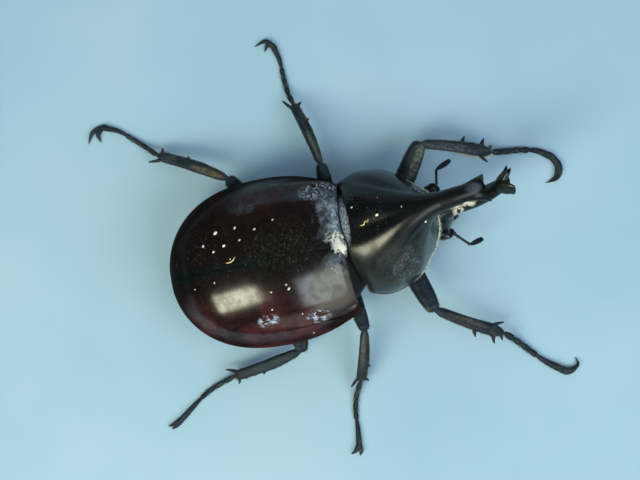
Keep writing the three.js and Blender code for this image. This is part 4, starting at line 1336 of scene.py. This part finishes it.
def tibia_shape(name):
    """A shin with its outer teeth, cross ridges and end spurs, where it stands."""
    leg, shape = LEGS[name], LEG_SHAPE[kind_of(name)]
    rings, reach = tibia_rings(name)
    parts = [rings]
    wide = shape["tibia"][0]
    for share, length in shape["teeth"]:
        x, base = share * reach, float(through(wide, share)) - 0.6
        tooth = ((x - 0.3, base, 0), (x, base + 0.6 + length * 0.45, 0), (x + 0.35, base + 0.6 + length, 0))
        thick = 0.75 if length > 1 else 0.5
        width, depth = ([thick * k for k in taper] for taper in ((0.8, 0.4, 0.1), (0.56, 0.36, 0.1)))
        parts.append(limb(tooth, width, depth, sides=20))
    heel, edge = shape["spur"] * reach, -float(through(wide, shape["spur"]))
    spur = ((heel, edge + 0.4, 0), (heel + 0.9, edge - 0.1, -0.1), (heel + 1.9, edge - 0.6, -0.3))
    parts.append(limb(spur, (0.3, 0.26, 0.12), sides=16, steps=16))
    for k in range(5):
        x = reach * (0.3 + 0.13 * k)
        out = float(through(wide, x / reach))
        thorn = ((x - 0.1, out - 0.3, 0.3), (x + 0.15, out - 0.02, 0.42), (x + 0.45, out + 0.12, 0.5))
        parts.append(limb(thorn, (0.16, 0.12, 0.05), sides=10, steps=8))
    result = Shape()
    for rings in parts:
        result.skin(stood(rings, leg["knee"], leg["ankle"], outward_of(name)))
    return result


def foot_shape(name):
    """A foot: five joints with small spines, and two hooked claws, flat where it stands on the floor."""
    leg = LEGS[name]
    size = LEG_SHAPE[kind_of(name)]["foot"]
    line = np.array((leg["ankle"], *leg["foot"]))
    ends = (0.0, 0.17, 0.33, 0.48, 0.63)
    shape = beaded(line, ends, [size * k for k in (1.12, 1.06, 1.02, 1.0)], narrow=0.5, steps=24, sides=24)
    last_joint = through(line, np.linspace(ends[-1] - 0.02, 1.0, 6))
    shape.skin(limb(last_joint, [size * k for k in (0.5, 0.8, 0.92, 1.02, 1.12, 1.2)], sides=24, steps=40))
    for end in ends[1:-1]:
        here, way = through(line, end - 0.02), unit(through(line, end) - through(line, end - 0.03))
        across = unit(np.cross(way, (0, 0, 1)))
        for lean in (-1, -0.35, 0.35, 1):
            root = here + across * lean * size * 0.7
            tip = root + way * 0.75 + across * lean * 0.32 + np.array((0, 0, -0.12))
            shape.skin(limb((root, (root + tip) / 2, tip), (0.07, 0.06, 0.02), sides=6, steps=5))
    before, last = through(line, 0.93), line[-1]
    for points in leg["claws"]:
        wide = (size * 1.15, size * 1.1, size * 0.85, 0.26)[: len(points) + 1] + (0.04,)
        shape.skin(limb((before, last, *points), wide, sides=20, steps=40))
    return shape.keep_above_floor()


class BEETLE_OT_legs(bpy.types.Operator):
    """Builds the six legs: hip, thigh, toothed shin and clawed foot"""

    bl_idname = "beetle.legs"
    bl_label = "Legs"

    def execute(self, context):
        finish = finishes(context)["leg"]
        for name, leg in LEGS.items():
            radius = LEG_SHAPE[kind_of(name)]["coxa"]
            hip = limb(leg["coxa"], (radius, radius), blunt=0.45)
            piece(f"hip_{name}", Shape().skin(hip), finish, [f"coxa_{name}"])
            piece(f"thigh_{name}", Shape().skin(femur_rings(name)), finish, [f"femur_{name}"])
            piece(f"shin_{name}", tibia_shape(name), finish, [f"tibia_{name}"], voxel=0.06, relax=4)
            piece(f"foot_{name}", foot_shape(name), finish, [f"tarsus_{name}"])
        return {"FINISHED"}


# ---------------------------------------------------------------- hair


def edge_hair(coat, rings, edge, start, end, count, lie, length, side):
    """Hair along part of one side of the shield's edge. lie is how far it points outwards, and a way."""
    columns = rings.shape[1]
    around = coat.rng.uniform(start, end, count)
    column = around * columns / 2 if side > 0 else columns - around * columns / 2
    row = edge + coat.rng.uniform(0, 5, count)
    i, j = row.astype(int), column.astype(int) % columns
    roots = fore(rings[i, j])
    outward = unit(roots - fore(rings[edge].mean(axis=0)))
    places = np.stack([(0.25 + 0.5 * around * side) % 1, row / len(rings)], axis=-1) * 0.95
    share, way = lie
    coat.grow(roots, outward * share + np.array(way), length, places)


def shield_fringes(dark, pale, length):
    """The fringes of the shield: dark behind and along the flanks, pale at the left rear and in front."""
    rings, edge = shield_rings()
    back, front, down = (0.4, (0, 0.9, 0)), (0.6, (0, -0.7, -0.1)), (0.3, (0, 0, -0.8))
    for coat, start, end, count, lie, share, sides in (
        (dark, 0.02, 0.4, 900, back, 1.0, (-1,)),
        (dark, 0.3, 0.4, 250, back, 1.0, (1,)),
        (dark, 0.4, 0.7, 500, down, 1.0, (1, -1)),
        (pale, 0.0, 0.28, 650, back, 0.8, (1,)),
        (pale, 0.7, 1.0, 800, front, 0.9, (1, -1)),
    ):
        for side in sides:
            edge_hair(coat, rings, edge, start, end, count, lie, length * share, side)


def belly_coat(coat):
    """Hair that lies backwards on the breast, the belly and the tail plate."""
    for start, end, line, count, length in (
        (BELLY_START, WAIST, breast_line, 1500, 0.8),
        (WAIST, LAST_PLATE, plated_line, 900, 0.5),
        (LAST_PLATE, BELLY_END, belly_line, 260, 0.7),
    ):
        coat.cover(trunk_rings(start, end, 40, line), count, (0, 1), (0.27, 0.73), 0.5, (0, 0.8, 0), length)


def mouth_coat(coat, count=140):
    """Tufts that point forward under the face, on both sides."""
    rng = coat.rng
    for side in (1, -1):
        ranges = ((16.4, 18.4), (0.2, 1.9), (4.6, 5.2))
        roots = fore(np.stack([rng.uniform(*ends, count) for ends in ranges], axis=-1), side)
        way = fore((1.0, 0.3, -0.5), side) - fore((0, 0, 0))
        coat.grow(roots, np.tile(way, (count, 1)), 0.7, rng.random((count, 2)) * 0.9)


def leg_coats(coat, tuft, length):
    """Rows of hair along the thighs and shins, and the pale tuft of the left front shin."""
    for name, leg in LEGS.items():
        thigh = femur_rings(name)
        along = unit(np.subtract(leg["knee"], leg["hip"]))
        for middle in (0.02, 0.5):
            coat.cover(thigh, 60, (0.3, 0.95), (middle - 0.03, middle + 0.03), 0.6, along, length * 0.6)
        rings, _ = tibia_rings(name)
        shin = stood(rings, leg["knee"], leg["ankle"], outward_of(name))
        down = unit(np.subtract(leg["ankle"], leg["knee"]))
        for middle, count in ((0.5, 110), (0.0, 50), (0.38, 60), (0.62, 60), (0.25, 40)):
            coat.cover(shin, count, (0.15, 0.98), (middle - 0.04, middle + 0.04), 0.35, down, length * 0.8)
        if name in ("hind_left", "middle_left"):
            coat.cover(shin, 260, (0.12, 0.55), (0.16, 0.34), 0.3, down, length * 0.8)
        if name == "front_left":
            tuft.cover(shin, 420, (0.5, 0.97), (0.9, 1.0), 0.8, down * 0.8, length)
    coat.keep_above_floor()


class BEETLE_OT_hair(bpy.types.Operator):
    """Grows the fringes of the shield and the hair of the underside, mouth and legs"""

    bl_idname = "beetle.hair"
    bl_label = "Hair"

    def execute(self, context):
        looks, sizes = finishes(context), context.scene.beetle_sizes
        rng = np.random.default_rng(sizes.seed)
        coats = {
            "shield_fringe_dark": "dark",
            "shield_fringe": "pale",
            "belly_hair": "hair",
            "mouth_hair": "hair",
            "leg_hair": "brown",
            "shin_tuft": "pale",
        }
        grown = {name: Coat(sizes.hair_thickness / MM, sizes.hair_share, rng) for name in coats}
        shield_fringes(grown["shield_fringe_dark"], grown["shield_fringe"], sizes.fringe / MM)
        belly_coat(grown["belly_hair"])
        mouth_coat(grown["mouth_hair"])
        leg_coats(grown["leg_hair"], grown["shin_tuft"], sizes.shin_hair / MM)
        for name, finish in coats.items():
            piece(name, grown[name], looks[finish])
        return {"FINISHED"}


# ---------------------------------------------------------------- crumbs

# Crumbs of dried dirt on the wing covers and the shield: x, y and half length. x below 0 is the right side.
COVER_CRUMBS = (
    *((5.6, 19.1, 0.3), (5.7, 16.0, 0.2), (5.0, 13.0, 0.19), (6.0, 10.2, 0.13), (3.7, 15.6, 0.17)),
    *((3.5, 18.2, 0.21), (4.0, 21.3, 0.18), (2.8, 20.0, 0.18), (1.1, 17.6, 0.1), (-1.9, 20.6, 0.14)),
    *((-4.2, 10.0, 0.14), (-4.9, 9.6, 0.22), (-5.1, 12.3, 0.13), (-7.6, 12.8, 0.12), (-2.2, 24.0, 0.1)),
    *((-12.3, 7.1, 0.13), (-3.1, 2.6, 0.1), (-9.1, 8.2, 0.12)),
)
SHIELD_CRUMBS = (
    *((3.5, -5.7, 0.22), (5.7, -2.2, 0.15), (1.1, -12.9, 0.18), (4.0, -9.6, 0.1), (6.2, -6.4, 0.07)),
    *((6.4, -12.4, 0.09), (5.9, -12.9, 0.13), (5.5, -13.3, 0.1), (6.8, -11.8, 0.08)),
)
CRUMB_SWELL = 1.25  # how much larger they all are
# Short fibres that lie on the back: the points that each passes over.
COVER_FIBRE = ((0.7, 18.3), (0.8, 17.9), (0.8, 17.6), (1.0, 17.1), (1.3, 16.8))
SHIELD_FIBRE = ((2.5, -2.9), (2.4, -3.3), (2.6, -3.6), (2.9, -3.8), (2.9, -4.2), (3.3, -4.3))


def on_skin(skin, x, y):
    """The point of a skin that is nearest to a place on the back, seen from above."""
    return skin[np.argmin(np.hypot(skin[:, 0] - x, skin[:, 1] - y) - 0.1 * skin[:, 2])]


def crumb_shape(skin, spots, rng):
    """Flat oval crumbs that sit on a skin."""
    shape = Shape()
    for x, y, size in spots:
        half = size * CRUMB_SWELL
        here = on_skin(skin, x, y)
        slope = [on_skin(skin, x + dx, y + dy) - here for dx, dy in ((0.8, 0), (0, 0.8))]
        out = unit(np.cross(*slope))
        turn = rng.uniform(0.2, 1.2)
        along = unit(np.cross(out, (math.cos(turn), math.sin(turn), 0)))
        frame = (along, np.cross(out, along), out)
        shape.skin(ball(here + out * 0.02, frame, (half, half * 0.66, half * 0.3), rows=11, sides=14))
    return shape


def fibre_shape(skin, places):
    """A thin fibre that lies over a skin."""
    line = np.array([on_skin(skin, x, y) for x, y in places]) + np.array((0, 0, 0.05))
    return Shape().skin(limb(line, (0.04, 0.09, 0.08, 0.09, 0.04), sides=10, steps=30))


class BEETLE_OT_crumbs(bpy.types.Operator):
    """Lays crumbs of dried dirt and two short fibres on the back"""

    bl_idname = "beetle.crumbs"
    bl_label = "Crumbs"

    def execute(self, context):
        looks, sizes = finishes(context), context.scene.beetle_sizes
        rng = np.random.default_rng(sizes.seed + 1)
        rings = cover_rings(sizes.seam_groove / MM)
        outer = rings[:, : rings.shape[1] // 2].reshape(-1, 3)
        covers = np.concatenate([outer, outer * (-1, 1, 1)])
        rings, edge = shield_rings()
        shield = fore(rings[:edge]).reshape(-1, 3)
        piece("cover_crumbs", crumb_shape(covers, COVER_CRUMBS, rng), looks["crumb"])
        piece("shield_crumbs", crumb_shape(shield, SHIELD_CRUMBS, rng), looks["crumb"])
        piece("cover_fibre", fibre_shape(covers, COVER_FIBRE), looks["straw"])
        piece("shield_fibre", fibre_shape(shield, SHIELD_FIBRE), looks["straw"])
        return {"FINISHED"}


# ---------------------------------------------------------------- stage

CAMERA_TURN = math.radians(11)  # how far the view is turned against the beetle's own axis
CAMERA_LEAN = math.radians(4)  # how far it leans from straight above
CAMERA_FAR = 220.0
CAMERA_TARGET = (2.1, 3.4, 8.0)  # the point in the middle of the view
VIEW_WIDE = 102.4  # how much the view takes in across, at the target

# The soft lights: what each looks at, the way to it from there, how far it stands, its size along the body
# and across, its watts and tint, how far it is turned, in degrees, and whether it shows in the gloss or only
# lifts the shadows.
LAMPS = {
    "window": ((-5, 17, 17), (-0.44, 0.6, 0.8), 420, (340, 140), 1.95, (1.0, 0.99, 0.74), 18, True),
    "window_front": ((-6, 0, 14), (-0.44, -0.52, 0.75), 420, (330, 270), 1.25, (0.88, 1.0, 1.06), 0, True),
    "side": ((0, 0, 8), (-0.9, -0.05, 0.38), 420, (300, 150), 0.12, (0.9, 0.97, 1.0), 0, True),
    "fill": ((0, 0, 8), (0.95, -0.15, 0.25), 500, (600, 300), 0.22, (0.55, 0.78, 1.0), 0, True),
    "lift": ((0, 0, 0), (0.7, 0, 0.9), 600, (900, 900), 1.75, (0.8, 0.92, 1.0), 0, False),
}
WORLD_TINT, WORLD_STRENGTH = (0.6, 0.8, 1.0, 1), 0.06
FLOOR_HALF = 1.5  # half the floor's side, in metres
FLOOR_PALE = (0.7, 0.8, 0.85)  # the tint of its faint clouds


def in_scene(point):
    """A point of the beetle's frame, in the scene's metres."""
    return Vector((np.array(point) * MM + ORIGIN).tolist())


def aim(obj, place, right, back):
    """Puts a lamp or the camera in its place, with its right side and its back along two directions."""
    turn = Matrix((right, back.cross(right), back)).transposed()
    obj.matrix_world = Matrix.Translation(place) @ turn.to_4x4()


def lamp(name, target, towards, far, size, watts, tint, spin, glossy):
    """A rectangular soft light that looks at a target."""
    data = bpy.data.lights.new(name, "AREA")
    data.shape = "RECTANGLE"
    data.size, data.size_y = (s * MM for s in size)
    data.energy = watts
    data.color = tint
    obj = added(name, data)
    obj.visible_glossy = glossy
    way = Vector(towards).normalized()
    across = Matrix.Rotation(math.radians(spin), 3, "Z") @ Vector((0, 1, 0))
    across = (across - way * across.dot(way)).normalized()
    aim(obj, in_scene(target) + way * far * MM, across, way)


class BEETLE_OT_stage(bpy.types.Operator):
    """Sets the pale floor, the soft lights and the camera"""

    bl_idname = "beetle.stage"
    bl_label = "Stage"

    def execute(self, context):
        scene = context.scene
        floor = bpy.data.meshes.new("floor")
        corners = [(x * FLOOR_HALF, y * FLOOR_HALF, 0) for x, y in ((-1, -1), (1, -1), (1, 1), (-1, 1))]
        floor.from_pydata(corners, [], [(0, 1, 2, 3)])
        shader = Shader("Pale floor")
        clouds = shader.noise(40.0).band(0.3, 0.7) * 0.1
        shade = shader.mix(clouds, scene.beetle_colours.floor, FLOOR_PALE)
        floor.materials.append(shader.finish({"Roughness": 0.6}, Base_Color=shade))
        ground = added("floor", floor)

        for name, settings in LAMPS.items():
            lamp(name, *settings)

        world = bpy.data.worlds.new("studio")
        scene.world = world
        world.use_nodes = True
        background = world.node_tree.nodes["Background"]
        background.inputs["Color"].default_value = WORLD_TINT
        background.inputs["Strength"].default_value = WORLD_STRENGTH
        scene.view_settings.view_transform = "Standard"

        data = bpy.data.cameras.new("camera")
        data.sensor_width = 36
        data.lens = data.sensor_width * CAMERA_FAR / VIEW_WIDE
        data.clip_start = 0.01
        camera = added("camera", data)
        above = Vector((math.cos(CAMERA_TURN), -math.sin(CAMERA_TURN), 0))
        right = Vector((-math.sin(CAMERA_TURN), -math.cos(CAMERA_TURN), 0))
        back = math.cos(CAMERA_LEAN) * Vector((0, 0, 1)) - math.sin(CAMERA_LEAN) * above
        aim(camera, in_scene(CAMERA_TARGET) + back * CAMERA_FAR * MM, right, back)
        scene.camera = camera
        return {"FINISHED"}


# ---------------------------------------------------------------- panel and run

BUILDERS = (
    BEETLE_OT_stage,
    BEETLE_OT_wing_covers,
    BEETLE_OT_trunk,
    BEETLE_OT_shield,
    BEETLE_OT_head,
    BEETLE_OT_feelers,
    BEETLE_OT_legs,
    BEETLE_OT_hair,
    BEETLE_OT_crumbs,
)


class BEETLE_PT_panel(bpy.types.Panel):
    """Lists the settings and the pieces"""

    bl_idname = "BEETLE_PT_panel"
    bl_label = "Beetle"
    bl_space_type = "VIEW_3D"
    bl_region_type = "UI"
    bl_category = "Beetle"

    def draw(self, context):
        layout = self.layout
        for settings in (context.scene.beetle_sizes, context.scene.beetle_colours):
            for name in settings.__annotations__:
                layout.prop(settings, name)
        for builder in BUILDERS:
            layout.operator(builder.bl_idname)


CLASSES = (BeetleSizes, BeetleColours, *BUILDERS, BEETLE_PT_panel)


def register():
    """Adds the classes and the scene's settings."""
    for cls in CLASSES:
        bpy.utils.register_class(cls)
    bpy.types.Scene.beetle_sizes = PointerProperty(type=BeetleSizes)
    bpy.types.Scene.beetle_colours = PointerProperty(type=BeetleColours)


def unregister():
    """Takes them away again."""
    del bpy.types.Scene.beetle_colours
    del bpy.types.Scene.beetle_sizes
    for cls in reversed(CLASSES):
        bpy.utils.unregister_class(cls)


def main():
    """Builds every piece."""
    register()
    for builder in BUILDERS:
        group, name = builder.bl_idname.split(".")
        getattr(getattr(bpy.ops, group), name)()


if __name__ == "__main__":
    main()
